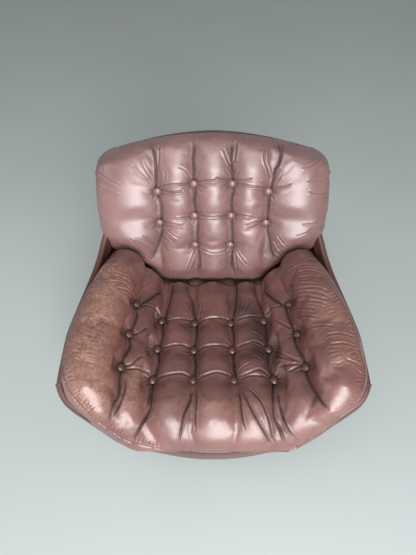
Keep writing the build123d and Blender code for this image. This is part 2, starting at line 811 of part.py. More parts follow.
# Back cushion: five crowned strips, its top arched like the shell's
back_limit = back_region(0)
cushion_arch = above_arch(back_cushion_overhang)
with BuildPart() as back_cushion:
    for section_shares, rear_share in zip(back_section_shares, back_rear_shares):
        height_share, side_share, depth_share, side_draw_share, crown_share = section_shares
        side = side_share * half_width
        depth = depth_share * half_depth
        side_depth = depth + side_draw_share * half_depth
        rear = rear_share * half_depth
        points = [(share * half_width, depth) for share in back_channel_shares] + [(side, side_depth)]
        left_points = [(-x, y) for x, y in points]
        with BuildSketch(Plane.XY.offset(underside_height + height_share * tub_height)):
            with BuildLine():
                crowned_run((left_points[0], points[0]), [-crown_share])
                crowned_run(points, [-crown_share] * 2)
                crowned_run(((side, side_depth), (side, rear)), [-back_side_crown_share])
                Line((side, rear), (-side, rear))
                crowned_run(((-side, rear), (-side, side_depth)), [-back_side_crown_share])
                crowned_run(left_points[::-1], [-crown_share] * 2)
            make_face()
    loft(ruled=True)
    add(back_limit, mode=Mode.INTERSECT)
    add(wall_space, mode=Mode.SUBTRACT)
    add(cushion_arch, mode=Mode.SUBTRACT)
    for plane in back_button_planes():
        add(plane * tuft, mode=Mode.SUBTRACT)
back_cushion.part.label = "back_cushion"
export_step(back_cushion.part, "parts/back_cushion.step")

# Buttons in the tufts
button = button_form()
for name, planes in (("seat_buttons", seat_button_planes()), ("back_buttons", back_button_planes())):
    with BuildPart() as buttons:
        for plane in planes:
            add(plane * button)
    buttons.part.label = name
    export_step(buttons.part, "parts/" + name + ".step")
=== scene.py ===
import math
import bmesh
import bpy
import numpy as np
from mathutils import Matrix, Vector
from mathutils.bvhtree import BVHTree
from mathutils.kdtree import KDTree


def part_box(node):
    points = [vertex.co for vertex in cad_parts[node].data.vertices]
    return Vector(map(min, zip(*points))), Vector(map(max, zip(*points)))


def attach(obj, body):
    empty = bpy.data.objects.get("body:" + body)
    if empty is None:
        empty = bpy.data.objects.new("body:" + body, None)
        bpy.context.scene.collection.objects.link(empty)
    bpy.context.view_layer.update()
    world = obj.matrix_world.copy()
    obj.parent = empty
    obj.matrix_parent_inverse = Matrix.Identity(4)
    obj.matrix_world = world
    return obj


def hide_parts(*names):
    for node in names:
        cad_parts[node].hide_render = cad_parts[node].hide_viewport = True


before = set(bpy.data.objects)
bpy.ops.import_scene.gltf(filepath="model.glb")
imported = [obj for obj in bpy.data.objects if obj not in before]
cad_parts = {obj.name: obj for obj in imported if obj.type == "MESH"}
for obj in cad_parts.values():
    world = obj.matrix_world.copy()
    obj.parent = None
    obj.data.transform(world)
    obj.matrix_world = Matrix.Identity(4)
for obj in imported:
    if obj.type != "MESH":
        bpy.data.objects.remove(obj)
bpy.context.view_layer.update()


# The view of the photograph: from the standing height of a person right in front of the
# chair, looking half down on it, with a moderately wide lens.
def placed(name, data):
    """A new object in the scene."""
    made = bpy.data.objects.new(name, data)
    bpy.context.scene.collection.objects.link(made)
    return made


photo_width = 416
photo_height = 555
photo_focus = 417
photo_place = Vector((-0.015, -0.766, 1.487))
photo_pitch = math.radians(50)
sensor_size = 36
camera_data = bpy.data.cameras.new("photo_camera")
camera_data.sensor_width = sensor_size
camera_data.lens = photo_focus / photo_height * sensor_size
camera = placed("photo_camera", camera_data)
camera.location = photo_place
camera.rotation_euler = (math.pi / 2 - photo_pitch, 0, 0)
bpy.context.scene.camera = camera
bpy.context.scene.view_settings.view_transform = "Standard"


def photo_ray(across, down):
    """Unit direction from the camera through a point of the photograph."""
    right = (across - photo_width / 2) / photo_focus
    up = (photo_height / 2 - down) / photo_focus
    forward = Vector((0, math.cos(photo_pitch), -math.sin(photo_pitch)))
    upward = Vector((0, math.sin(photo_pitch), math.cos(photo_pitch)))
    return (forward + Vector((right, 0, 0)) + up * upward).normalized()


# The studio: a pale grey-green floor, a tall window in front of the chair, weaker panels
# overhead and at the left, and an even pale sky.
def tint(*levels):
    """An sRGB colour in three levels of 0 to 255 as the linear colour that a socket takes."""
    linear = [c / 255 / 12.92 if c <= 10 else ((c / 255 + 0.055) / 1.055) ** 2.4 for c in levels]
    return (*linear, 1)


class Wire:
    """An output of a material's nodes, so that shader maths reads as Python expressions."""

    def __init__(self, finish, socket):
        self.finish = finish
        self.socket = socket

    def maths(self, operation, first, second):
        return self.finish.node("ShaderNodeMath", {"operation": operation}, {0: first, 1: second})

    def __add__(self, other):
        return self.maths("ADD", self, other)

    def __sub__(self, other):
        return self.maths("SUBTRACT", self, other)

    def __rsub__(self, other):
        return self.maths("SUBTRACT", other, self)

    def __mul__(self, other):
        return self.maths("MULTIPLY", self, other)

    __radd__ = __add__
    __rmul__ = __mul__


class Finish:
    """A material on one Principled shader, with the values that are the same all over it."""

    def __init__(self, name, **constants):
        self.material = bpy.data.materials.new(name)
        self.material.use_nodes = True
        self.tree = self.material.node_tree
        self.shader = self.tree.nodes["Principled BSDF"]
        for socket, value in constants.items():
            self.feed(socket.replace("_", " "), value)
        self.place = self.node("ShaderNodeTexCoord", {}, {}, "Object")

    def join(self, socket, value):
        if isinstance(value, Wire):
            self.tree.links.new(value.socket, socket)
        else:
            socket.default_value = value

    def feed(self, name, value):
        self.join(self.shader.inputs[name], value)

    def node(self, kind, settings, sockets, output=0):
        made = self.tree.nodes.new(kind)
        for name, value in settings.items():
            setattr(made, name, value)
        for name, value in sockets.items():
            self.join(made.inputs[name], value)
        return Wire(self, made.outputs[output])

    def noise(self, scale, detail=4.0, roughness=0.5, distortion=0.0, where=None):
        sockets = {"Vector": where or self.place, "Scale": scale, "Detail": detail}
        sockets |= {"Roughness": roughness, "Distortion": distortion}
        return self.node("ShaderNodeTexNoise", {}, sockets)

    def cells(self, scale):
        sockets = {"Vector": self.place, "Scale": scale}
        return self.node("ShaderNodeTexVoronoi", {"feature": "DISTANCE_TO_EDGE"}, sockets)

    def bands(self, direction, scale, distortion=0.0):
        sockets = {"Vector": self.place, "Scale": scale, "Distortion": distortion}
        return self.node("ShaderNodeTexWave", {"bands_direction": direction}, sockets)

    def stretched(self, x, y, z):
        return self.node("ShaderNodeMapping", {}, {"Vector": self.place, "Scale": (x, y, z)})

    def blend(self, share, first, second):
        sockets = {0: share, 6: first, 7: second}
        return self.node("ShaderNodeMix", {"data_type": "RGBA"}, sockets, 2)

    def paint(self, share, first, second):
        self.feed("Base Color", self.blend(share, first, second))

    def fade(self, value, low, high):
        return self.node("ShaderNodeMapRange", {}, {0: value, 1: low, 2: high})

    def attribute(self, name):
        return self.node("ShaderNodeAttribute", {"attribute_name": name}, {}, "Fac")

    def bump(self, height, distance, strength, below=None):
        sockets = {"Height": height, "Distance": distance, "Strength": strength}
        if below:
            sockets["Normal"] = below
        return self.node("ShaderNodeBump", {}, sockets)


def mesh_from(name, shape):
    """The mesh of a finished bmesh shape."""
    mesh = bpy.data.meshes.new(name)
    shape.to_mesh(mesh)
    shape.free()
    return mesh


floor_size = 12.0
floor_shape = bmesh.new()
bmesh.ops.create_grid(floor_shape, x_segments=1, y_segments=1, size=floor_size)
studio_floor = placed("studio_floor", mesh_from("studio_floor", floor_shape))
floor_finish = Finish("floor_paint", Roughness=0.55)
floor_finish.paint(floor_finish.noise(1.1, 3.0), tint(168, 176, 175), tint(180, 188, 187))
studio_floor.data.materials.append(floor_finish.material)

sky = bpy.data.worlds.new("studio_sky")
sky.use_nodes = True
sky_light = sky.node_tree.nodes["Background"].inputs
sky_light["Color"].default_value = tint(236, 240, 240)
sky_light["Strength"].default_value = 0.44
bpy.context.scene.world = sky


def soft_lamp(name, place, aim, size, watts, colour):
    """A rectangular soft lamp that shines from place towards aim."""
    data = bpy.data.lights.new(name, "AREA")
    data.shape = "RECTANGLE"
    data.size, data.size_y = size
    data.energy = watts
    data.color = colour
    lamp = placed(name, data)
    lamp.location = place
    lamp.rotation_euler = (Vector(aim) - Vector(place)).to_track_quat("-Z", "Y").to_euler()


soft_lamp("window_panel", (0.5, -3.3, 1.85), (0, 0, 0.45), (1.9, 3.5), 272, (1.0, 0.985, 0.99))
soft_lamp("ceiling_panel", (-0.4, -1.2, 3.0), (0, 0, 0.4), (2.0, 1.2), 18, (1.0, 0.98, 0.96))
soft_lamp("side_panel", (-2.8, -0.6, 1.6), (0, 0, 0.5), (1.2, 1.6), 16, (0.96, 0.98, 1.0))


# Star base: one aluminium casting, sand cast and shot blasted, then lacquered, with four
# black nylon glides pressed into the arm tips.
def dress(nodes, finish):
    """Gives CAD nodes a finish through their own material slots."""
    for name in nodes:
        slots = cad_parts[name].data.materials
        slots.clear()
        slots.append(finish.material)


casting = Finish("lacquered_casting", Metallic=1.0)
casting_clouds = casting.noise(14.0, 4.0)
casting.paint(casting_clouds, tint(150, 150, 150), tint(186, 187, 188))
casting.feed("Roughness", 0.26 + 0.16 * casting_clouds)
casting.feed("Normal", casting.bump(casting.noise(900.0, 3.0), 0.0002, 0.35))
dress(["star_base"], casting)

nylon = Finish("black_nylon", Base_Color=tint(28, 28, 29))
nylon.feed("Roughness", 0.38 + 0.2 * nylon.noise(60.0))
nylon.feed("Normal", nylon.bump(nylon.noise(700.0, 2.0), 0.0001, 0.4))
dress(["glides", "upper_bush", "lower_bush", "thrust_washer"], nylon)


# Swivel: a turned steel spindle with its collar and flange, its washer and retaining ring,
# and the pressed seat plate with its bolts and tee nuts.
turned = Finish("turned_steel", Metallic=1.0, Base_Color=tint(168, 168, 170))
turned_rings = turned.noise(60.0, 2.0, where=turned.stretched(0.2, 0.2, 30.0))
turned.feed("Roughness", 0.24 + 0.2 * turned_rings)
turned.feed("Normal", turned.bump(turned_rings, 0.0001, 0.5))
dress(["spindle", "retaining_washer", "retaining_ring"], turned)

painted = Finish("black_paint", Base_Color=tint(30, 30, 31))
painted.feed("Roughness", 0.42 + 0.18 * painted.noise(25.0))
painted.feed("Normal", painted.bump(painted.noise(500.0, 2.0), 0.0002, 0.4))
dress(["seat_plate"], painted)

plated = Finish("zinc_plating", Metallic=1.0)
plated.paint(plated.noise(80.0), tint(160, 160, 152), tint(196, 194, 184))
plated.feed("Roughness", 0.3 + 0.2 * plated.noise(120.0))
dress(["plate_bolts", "tee_nuts", "frame_screws", "webbing_clips"], plated)


# Seat frame in the shell: a birch plywood board, four sawn pine rails screwed up through it,
# and rubber webbing straps hooked over the rails with steel clips.
plywood = Finish("birch_plywood")
plies = plywood.bands("Z", 110.0, 0.6)
ply_grain = plywood.noise(9.0, 5.0, where=plywood.stretched(1.0, 12.0, 1.0))
plywood.paint(0.55 * ply_grain + 0.45 * plies, tint(196, 160, 112), tint(222, 196, 152))
plywood.feed("Roughness", 0.6 + 0.15 * ply_grain)
dress(["bottom_board"], plywood)

pine = Finish("sawn_pine")
pine_grain = pine.noise(16.0, 6.0, 0.6, 0.4, where=pine.stretched(1.0, 1.0, 14.0))
pine.paint(pine_grain, tint(186, 140, 88), tint(226, 190, 140))
pine.feed("Roughness", 0.62 + 0.15 * pine_grain)
pine.feed("Normal", pine.bump(pine_grain, 0.0004, 0.5))
dress(["front_rail", "rear_rail", "left_rail", "right_rail"], pine)

webbing = Finish("rubber_webbing")
webbing_weave = webbing.bands("Y", 160.0)
webbing.paint(webbing_weave, tint(60, 44, 32), tint(104, 84, 62))
webbing.feed("Roughness", 0.75 + 0.1 * webbing_weave)
webbing.feed("Normal", webbing.bump(webbing_weave, 0.0004, 0.6))


def clothe(mesh, finish):
    """Gives a mesh one finish all over and smooth shading."""
    mesh.materials.clear()
    mesh.materials.append(finish.material)
    mesh.polygons.foreach_set("use_smooth", [True] * len(mesh.polygons))


def made_piece(name, mesh, finish):
    """Puts a mesh made here into the scene as one piece of the seat."""
    clothe(mesh, finish)
    piece = placed(name, mesh)
    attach(piece, "seat")
    return piece


strap_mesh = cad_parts["seat_webbing"].data
strap_edges = sorted({round(vertex.co.y, 4) for vertex in strap_mesh.vertices})
strap_low, strap_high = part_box("seat_webbing")
strap_shape = bmesh.new()
for strap_start, strap_end in zip(strap_edges[::2], strap_edges[1::2]):
    for vertex in bmesh.ops.create_cube(strap_shape, size=1.0)["verts"]:
        vertex.co.x *= strap_high.x - strap_low.x
        vertex.co.y = (strap_start + strap_end) / 2 + vertex.co.y * (strap_end - strap_start)
        vertex.co.z = (strap_low.z + strap_high.z) / 2 + vertex.co.z * (strap_high.z - strap_low.z)
strap_length = 0.2  # Less than the length of any strap, and more than its width.
strap_runs = [edge for edge in strap_shape.edges if edge.calc_length() > strap_length]
bmesh.ops.bevel(
    strap_shape, geom=strap_runs, offset=0.0007, segments=3,
    profile=0.5, affect="EDGES", material=-1,
)
strap_runs = [edge for edge in strap_shape.edges if edge.calc_length() > strap_length]
bmesh.ops.subdivide_edges(strap_shape, edges=strap_runs, cuts=40, use_grid_fill=True)
for vertex in strap_shape.verts:
    vertex.co.y += 0.0003 * math.sin(vertex.co.x * 90 + round(vertex.co.y, 2) * 50)
straps = mesh_from("rubber_straps", strap_shape)
rubber_straps = made_piece("rubber_straps", straps, webbing)
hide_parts("seat_webbing")


# Dust cover: black non-woven cloth cut to the outline of the floor, with a square hole for the
# seat plate, stretched and stapled under the board.
def tree_of(points):
    """A search tree of points."""
    tree = KDTree(len(points))
    for index, point in enumerate(points):
        tree.insert(point, index)
    tree.balance()
    return tree


dust_cloth = Finish("dust_cloth", Roughness=0.9)
dust_weave = dust_cloth.noise(700.0, 2.0)
dust_cloth.paint(dust_weave, tint(24, 24, 25), tint(50, 49, 48))
dust_cloth.feed("Normal", dust_cloth.bump(dust_weave, 0.0004, 0.6))

dust_low, dust_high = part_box("dust_cover")
dust_size = dust_high - dust_low
dust_shape = bmesh.new()
dust_shape.from_mesh(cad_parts["dust_cover"].data)
bmesh.ops.remove_doubles(dust_shape, verts=dust_shape.verts, dist=0.00005)
dust_flats = [face for face in dust_shape.faces if face.normal.z > -0.9]
bmesh.ops.delete(dust_shape, geom=dust_flats, context="FACES")
dust_area = sum(face.calc_area() for face in dust_shape.faces)
dust_mesh_size = 0.02
for cut_facing in (Vector((1, 0, 0)), Vector((0, 1, 0))):
    for cut in np.arange(dust_mesh_size, dust_size.dot(cut_facing), dust_mesh_size):
        bmesh.ops.bisect_plane(
            dust_shape,
            geom=dust_shape.verts[:] + dust_shape.edges[:] + dust_shape.faces[:],
            plane_co=dust_low + cut_facing * cut,
            plane_no=cut_facing,
        )
dust_tree = tree_of([vertex.co.copy() for vertex in dust_shape.verts if vertex.is_boundary])
dust_sag = 0.0016
for vertex in dust_shape.verts:
    taut = min(1, dust_tree.find(vertex.co)[2] / 0.06)
    vertex.co.z -= dust_sag * taut * (1 + 0.3 * math.sin(40 * vertex.co.x + 23 * vertex.co.y))
dust_mesh = mesh_from("dust_cloth", dust_shape)
dust_piece = made_piece("under_dust_cloth", dust_mesh, dust_cloth)
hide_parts("dust_cover")


# Moulded tub shell: dark brown plastic reinforced with glass fibres, matt on its inner face,
# which shows only between the cushions and the rim.
moulded = Finish("moulded_shell")
moulded_fibres = moulded.noise(90.0, 5.0, 0.6)
moulded.paint(moulded_fibres, tint(40, 27, 24), tint(62, 43, 38))
moulded.feed("Roughness", 0.5 + 0.2 * moulded_fibres)
moulded.feed("Normal", moulded.bump(moulded_fibres, 0.0004, 0.4))
dress(["tub_shell"], moulded)


# Leather: semi-aniline hide, dyed red-brown, glossy from years of wax, with a fine grain. The
# buttons are domes covered in the same hide, drawn down by a cord through the cushion. The back
# cushion and its buttons are painted lighter than the seat, as painted light, and the seat's
# buttons darker, as painted shade.
def leather(name, dark, pale, worn, roughness=0.33, gloss=0.55, haze=0.27):
    """Hide that is tan where worn, dark where soiled, darkened with painted shade in hollows and
    along the back of the seat, and painted nearly black with shade in the creases.
    """
    finish = Finish(name, Coat_Roughness=haze, IOR=1.5)
    clouds = finish.noise(7.0, 4.0, 0.55)
    mottle = finish.noise(95.0, 6.0, 0.7, 0.8)
    flecks = finish.noise(260.0, 4.0, 0.6)
    pores = finish.cells(520.0)
    wrinkles = finish.noise(38.0, 6.0, 0.62, 1.2)
    wear = finish.attribute("wear") * finish.fade(0.65 * mottle + 0.35 * flecks, 0.42, 0.56)
    soil_and_shade, hollow_shade, fold_and_contact_shade = (finish.attribute(mark) for mark in ("soil_and_shade", "hollow_shade", "fold_and_contact_shade"))
    dye = finish.fade(0.7 * clouds + 0.3 * mottle, 0.38, 0.62)
    hide = finish.blend(dye, tint(*dark), tint(*pale))
    hide = finish.blend(wear, hide, tint(*worn))
    # Soil patches, and painted shade along the back of the seat.
    hide = finish.blend(soil_and_shade, hide, tint(30, 17, 16))
    # Painted shade in the hollows round the buttons and along the channels.
    hide = finish.blend(0.85 * hollow_shade, hide, tint(30, 15, 13))
    unmarked = (1 - fold_and_contact_shade) * (1 - 0.9 * soil_and_shade) * (1 - 0.75 * hollow_shade)
    # Painted shade, nearly black, in the creases and where the cushions meet.
    finish.paint(fold_and_contact_shade, hide, tint(9, 4, 3))
    finish.feed("Roughness", roughness + 0.14 * mottle + 0.16 * wear + 0.5 - 0.5 * unmarked)
    finish.feed("Coat Weight", gloss * unmarked)
    grain = finish.bump(pores, 0.0004, 0.25)
    finish.feed("Normal", finish.bump(wrinkles, 0.0016, 0.42, grain))
    return finish


cushion_leather = leather("cushion_leather", (95, 60, 55), (116, 78, 72), (140, 104, 88))
panel_leather = leather(
    "panel_leather", (74, 45, 41), (93, 59, 54), (120, 84, 66), roughness=0.4, gloss=0.15
)
# The back cushion's hide: the seat's hide painted lighter, standing in for the brighter light on
# it.
back_leather = leather(
    "back_leather",
    (101, 71, 68),
    (123, 91, 88),
    (134, 101, 88),
    roughness=0.4,
    gloss=1.0,
    haze=0.36,
)
# Button hides: painted shade on the seat's buttons, painted light on the back's.
shaded_seat_button_leather = leather("shaded_seat_button_leather", (64, 36, 33), (82, 49, 45), (110, 76, 60))
lit_back_button_leather = leather("lit_back_button_leather", (108, 72, 68), (126, 88, 84), (136, 98, 82))
dress(["seat_buttons"], shaded_seat_button_leather)
dress(["back_buttons"], lit_back_button_leather)


# Seat-and-arms cushion: one hide cover over moulded foam, quilted into seven strips by six
# sewn channels, and drawn down by eighteen buttons. It lies on the webbing inside the tub.
def smooth_step(share):
    """Eases a share in and out between 0 and 1."""
    share = np.clip(share, 0, 1)
    return share * share * (3 - 2 * share)


def smooth_line(corners, spacing):
    """Closely spaced points on a smooth line through the corners."""
    known = np.array([corners[0], *corners, corners[-1]], float)
    runs = []
    for before, start, end, after in zip(known, known[1:], known[2:], known[3:]):
        count = max(2, int(np.linalg.norm(end - start) / spacing))
        share = np.linspace(0, 1, count, endpoint=False)[:, None]
        bend = 2 * before - 5 * start + 4 * end - after
        turn = 3 * start - before - 3 * end + after
        runs.append(0.5 * (2 * start + (end - before) * share + bend * share**2 + turn * share**3))
    runs.append(known[-1:])
    return np.concatenate(runs)


def points_of(places):
    """Rows of coordinates of the places that a search found."""
    return np.array([place for place in places if place is not None], float).reshape(-1, 3)


def on_surface(trace, surface):
    """The points of a surface under a line traced on the photograph: across, down, across, ..."""
    line = smooth_line(np.reshape(trace, (-1, 2)), 0.4)
    rays = (photo_ray(float(across), float(down)) for across, down in line)
    return points_of(surface.ray_cast(photo_place, ray)[0] for ray in rays)


def bridged(line, surface):
    """The line with its gap closed along the surface, where the camera can't see it."""
    jumps = np.linalg.norm(np.diff(line, axis=0), axis=1)
    gap = int(jumps.argmax())
    count = int(jumps[gap] / 0.0015)
    shares = np.linspace(0, 1, count + 2)[1:-1, None]
    straight = line[gap] + shares * (line[gap + 1] - line[gap])
    laid = points_of(surface.find_nearest(Vector(place), 0.1)[0] for place in straight)
    return np.concatenate([line[: gap + 1], laid, line[gap + 1 :]])


def gone_along(line):
    """How far along a line each of its points lies."""
    return np.concatenate([[0], np.cumsum(np.linalg.norm(np.diff(line, axis=0), axis=1))])


def point_at(at, gone, line):
    """The point at a length along a line, or the points at several."""
    return np.stack([np.interp(at, gone, line[:, axis]) for axis in range(3)], axis=-1)


def surface_of(mesh):
    """A search tree of a mesh's faces."""
    shape = bmesh.new()
    shape.from_mesh(mesh)
    tree = BVHTree.FromBMesh(shape)
    shape.free()
    return tree


def vectors_of(mesh, kind="co"):
    """The places of a mesh's vertices, or their normals, as rows."""
    values = np.empty(len(mesh.vertices) * 3, np.float32)
    mesh.vertices.foreach_get(kind, values)
    return values.reshape(-1, 3).astype(float)


def move_to(mesh, places):
    """Moves the vertices of a mesh."""
    mesh.vertices.foreach_set("co", places.astype(np.float32).ravel())
    mesh.update()


def share_by(mesh, name, values):
    """Stores one number per vertex for the material."""
    attribute = mesh.attributes.new(name, "FLOAT", "POINT")
    attribute.data.foreach_set("value", np.clip(values, 0, 1).astype(np.float32))


def modify(piece, kind, **settings):
    """Adds a modifier to a piece."""
    modifier = piece.modifiers.new(kind.lower(), kind)
    for name, value in settings.items():
        setattr(modifier, name, value)
    return modifier


def evaluated(piece):
    """The piece with its modifiers worked out."""
    return piece.evaluated_get(bpy.context.evaluated_depsgraph_get())


def settle(piece):
    """Applies a piece's modifiers to its mesh."""
    old = piece.data
    piece.data = bpy.data.meshes.new_from_object(evaluated(piece))
    piece.modifiers.clear()
    bpy.data.meshes.remove(old)


def remeshed_copy(name, node):
    """A closed, evenly meshed and softened copy of a CAD node."""
    shape = bmesh.new()
    shape.from_mesh(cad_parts[node].data)
    bmesh.ops.remove_doubles(shape, verts=shape.verts, dist=0.00005)
    piece = placed(name, mesh_from(name, shape))
    modify(piece, "REMESH", mode="VOXEL", voxel_size=0.005)
    modify(piece, "SMOOTH", iterations=14)
    settle(piece)
    return piece


def around(places, points, reach):
    """The numbers of the places in the box round some points, wider by reach on each side."""
    inside = (places > points.min(0) - reach) & (places < points.max(0) + reach)
    return np.flatnonzero(inside.all(1))


def near_share(places, points, reach):
    """How near each place is to the nearest of some points: 1 there, 0 from reach on."""
    tree = tree_of(points)
    share = np.zeros(len(places))
    for index in around(places, points, reach):
        share[index] = max(0.0, 1 - tree.find(places[index])[2] / reach)
    return share


def puff(piece, channels, rests_on, cap):
    """Blows the cover up as cloth, held along its sewing and where it rests on other pieces."""
    mesh = piece.data
    surface = surface_of(mesh)
    before = vectors_of(mesh)
    sewn = np.concatenate([on_surface(channel, surface) for channel in channels])
    held = near_share(before, sewn, 0.007) > 0
    for node, reach in rests_on:
        tree = surface_of(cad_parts[node].data)
        for index in np.flatnonzero(~held):
            if tree.find_nearest(before[index], reach)[0] is not None:
                held[index] = True
    group = piece.vertex_groups.new(name="held")
    group.add([int(index) for index in np.flatnonzero(held)], 1.0, "REPLACE")
    cloth = modify(piece, "CLOTH")
    cloth.settings.vertex_group_mass = "held"
    cloth.settings.quality = 4
    cloth.settings.tension_stiffness = 20
    cloth.settings.compression_stiffness = 20
    cloth.settings.bending_stiffness = 0.8
    cloth.settings.shrink_min = -0.012
    cloth.settings.use_pressure = True
    cloth.settings.uniform_pressure_force = 4
    cloth.settings.effector_weights.gravity = 0
    cloth.collision_settings.use_collision = False
    last_frame = 20
    cloth.point_cache.frame_start = 1
    cloth.point_cache.frame_end = last_frame
    for step in range(1, last_frame + 1):
        bpy.context.scene.frame_set(step)
    blown = vectors_of(evaluated(piece).data)
    piece.modifiers.clear()
    bpy.context.scene.frame_set(1)
    piece.vertex_groups.clear()
    move = blown - before
    length = np.linalg.norm(move, axis=1)[:, None]
    move *= np.minimum(1, cap / np.maximum(length, 1e-9))
    move_to(mesh, before + move)
    modify(piece, "SMOOTH", iterations=7)
    settle(piece)


def doubled(piece):
    """Divides each face of a piece in four, smoothly."""
    modify(piece, "SUBSURF", levels=1, render_levels=1)
    settle(piece)


class Creases:
    """Folds pressed into a piece: how far each place moves, and how dark the painted shade in and
    round each fold is.
    """

    def __init__(self, piece, chance):
        self.mesh = piece.data
        self.chance = chance
        self.places = vectors_of(self.mesh)
        self.facings = vectors_of(self.mesh, "normal")
        self.surface = surface_of(self.mesh)
        marks = np.zeros((5, len(self.places)))
        self.sunk, self.raised, self.valley, self.hollow_shade, self.dirt = marks

    def press(self, points, depth, width, lip=0.3, dirt=1.0, fade=0.12, valley=None):
        """Presses one fold along points on the surface, with painted shade along it, in a wide
        valley with a halo of painted shade if one is given.
        """
        if len(points) < 3:
            return
        near = around(self.places, points, 4 * max(width, valley[1] if valley else 0))
        if not len(near):
            return
        gap = np.empty(len(near))
        share = np.empty(len(near))
        batch = 4000
        for start in range(0, len(near), batch):
            part = slice(start, start + batch)
            apart = np.linalg.norm(self.places[near[part]][:, None] - points[None], axis=2)
            gap[part] = apart.min(1)
            share[part] = apart.argmin(1) / (len(points) - 1)
        taper = smooth_step(np.minimum(share, 1 - share) / fade)
        lip_shape = np.exp(-(((gap - 2.2 * width) / (1.1 * width)) ** 2))
        # Painted shade along the fold, and a wider halo of painted shade in its valley.
        pressed = [
            (self.sunk, depth * taper * np.exp(-((gap / width) ** 1.3))),
            (self.raised, lip * depth * taper * lip_shape),
            (self.dirt, dirt * taper * np.exp(-((gap / (0.7 * width)) ** 2))),
        ]
        if valley:
            pressed.append((self.valley, valley[0] * taper * np.exp(-gap / valley[1])))
            pressed.append((self.hollow_shade, 0.6 * taper * np.exp(-gap / (0.9 * valley[1]))))
        for mark, values in pressed:
            mark[near] = np.maximum(mark[near], values)

    def trace(self, lines, depth, width, **shape):
        """Presses a fold along each line traced on the photograph."""
        for line in lines:
            self.press(on_surface(line, self.surface), depth, width, **shape)

    def draw(self, start, direction, length, depth, width, dirt=0.1):
        """Presses a short straight fold that starts at a point and runs in a direction."""
        steps = np.linspace(0, length, max(4, int(length / 0.0015)))
        straight = (Vector(start + direction * step) for step in steps)
        laid = points_of(self.surface.find_nearest(place, 0.03)[0] for place in straight)
        self.press(laid, depth, width, lip=0.6, dirt=dirt, fade=0.4)

    def gather_round(self, centres, reach, depth):
        """Fine folds that run outwards from each button, and painted shade in the hollow round it.
        """
        folds = 9
        button_radius = 0.009
        hollow_shade_reach = 0.014
        for centre in centres:
            place, facing = self.surface.find_nearest(Vector(centre), 0.05)[:2]
            apart = np.linalg.norm(self.places - np.array(place), axis=1)
            outside = np.maximum(0, apart - button_radius)
            # Painted shade round the button, darkest at its edge.
            self.hollow_shade = np.maximum(self.hollow_shade, 0.95 * np.exp(-outside / hollow_shade_reach))
            along = np.array(facing.orthogonal().normalized())
            across = np.cross(facing, along)
            for fold in range(folds):
                turn = 2 * math.pi * (fold + self.chance.uniform(-0.35, 0.35)) / folds
                direction = math.cos(turn) * along + math.sin(turn) * across
                length, deep = self.chance.uniform(*reach), self.chance.uniform(*depth)
                width = self.chance.uniform(0.0018, 0.0028)
                self.draw(np.array(place) + direction * 0.007, direction, length, deep, width)

    def gather_along(self, line, spacing, reach, depth, towards):
        """Short folds across a sewn edge; towards gives the side that they run to."""
        gone = gone_along(line)
        margin = 0.01
        ahead = 0.004
        at = margin
        while at < gone[-1] - margin:
            start = point_at(at, gone, line)
            after = point_at(at + ahead, gone, line)
            place, facing = self.surface.find_nearest(Vector(start), 0.05)[:2]
            at += spacing(start) * self.chance.uniform(0.7, 1.3)
            if place is None:
                continue
            direction = np.cross(facing, after - start)
            direction /= max(np.linalg.norm(direction), 1e-9)
            if np.dot(direction, towards - start) < 0:
                direction = -direction
            direction += (after - start) / ahead * self.chance.uniform(-0.3, 0.3)
            length, deep = self.chance.uniform(*reach), self.chance.uniform(*depth)
            self.draw(start, direction, length, deep, 0.0022, dirt=0.06)

    def shade_against(self, node):
        """Painted contact shade where the cover meets another piece."""
        reach = 0.016
        tree = surface_of(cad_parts[node].data)
        for index, place in enumerate(self.places):
            distance = tree.find_nearest(place, reach)[3]
            if distance is not None:
                self.dirt[index] = max(self.dirt[index], 0.9 - 0.9 * distance / reach)

    def finish(self):
        """Moves the places and stores the marks for the material."""
        move = self.raised - self.sunk - self.valley
        move_to(self.mesh, self.places + self.facings * move[:, None])
        # The painted shade of the folds, the junctions and the hollows goes to the material.
        share_by(self.mesh, "fold_and_contact_shade", self.dirt)
        share_by(self.mesh, "hollow_shade", self.hollow_shade)


def middles(node):
    """The middle of each of the small solids of a CAD node."""
    left = vectors_of(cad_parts[node].data)
    found = []
    while len(left):
        near = np.linalg.norm(left - left[0], axis=1) < 0.035
        found.append(left[near].mean(0))
        left = left[~near]
    return found


# Lines traced on the photograph where the channels and folds run: across, down, across, ...
seat_channels = (
    (
        188, 287.4, 192.4, 297, 193.6, 307, 195.6, 320, 196.4, 323.4, 196, 335, 194.4, 350.2, 195,
        365, 194, 380.2,
    ),
    (236, 287.4, 235, 301, 232.4, 319, 232, 322, 233, 335, 233.4, 349, 233.6, 363, 235.6, 379.4),
    (
        172, 287.4, 170, 297, 167, 309, 162.4, 322.4, 162, 335, 158.6, 348.6, 158, 361, 153.4,
        379.4, 151, 391, 149, 407, 142, 425, 130, 444,
    ),
    (
        255, 287.4, 259, 301, 263, 315, 264.4, 319.8, 266, 335, 267.6, 347.6, 269, 363, 273,
        378.2, 273.6, 395, 274.8, 415, 280, 431, 286, 445,
    ),
    (
        162, 290, 156, 295, 144, 302, 137.4, 305, 138, 315, 132, 331, 130.2, 334.2, 131, 345, 125,
        357, 122.4, 366.4, 121, 379, 119, 393, 114, 407, 107, 426,
    ),
    (
        263, 290, 270, 297, 280, 303, 284.4, 304, 287, 315, 293.2, 331, 295, 343, 303.6, 361.4,
        306, 375, 312, 389, 320, 401, 330, 412,
    ),
)
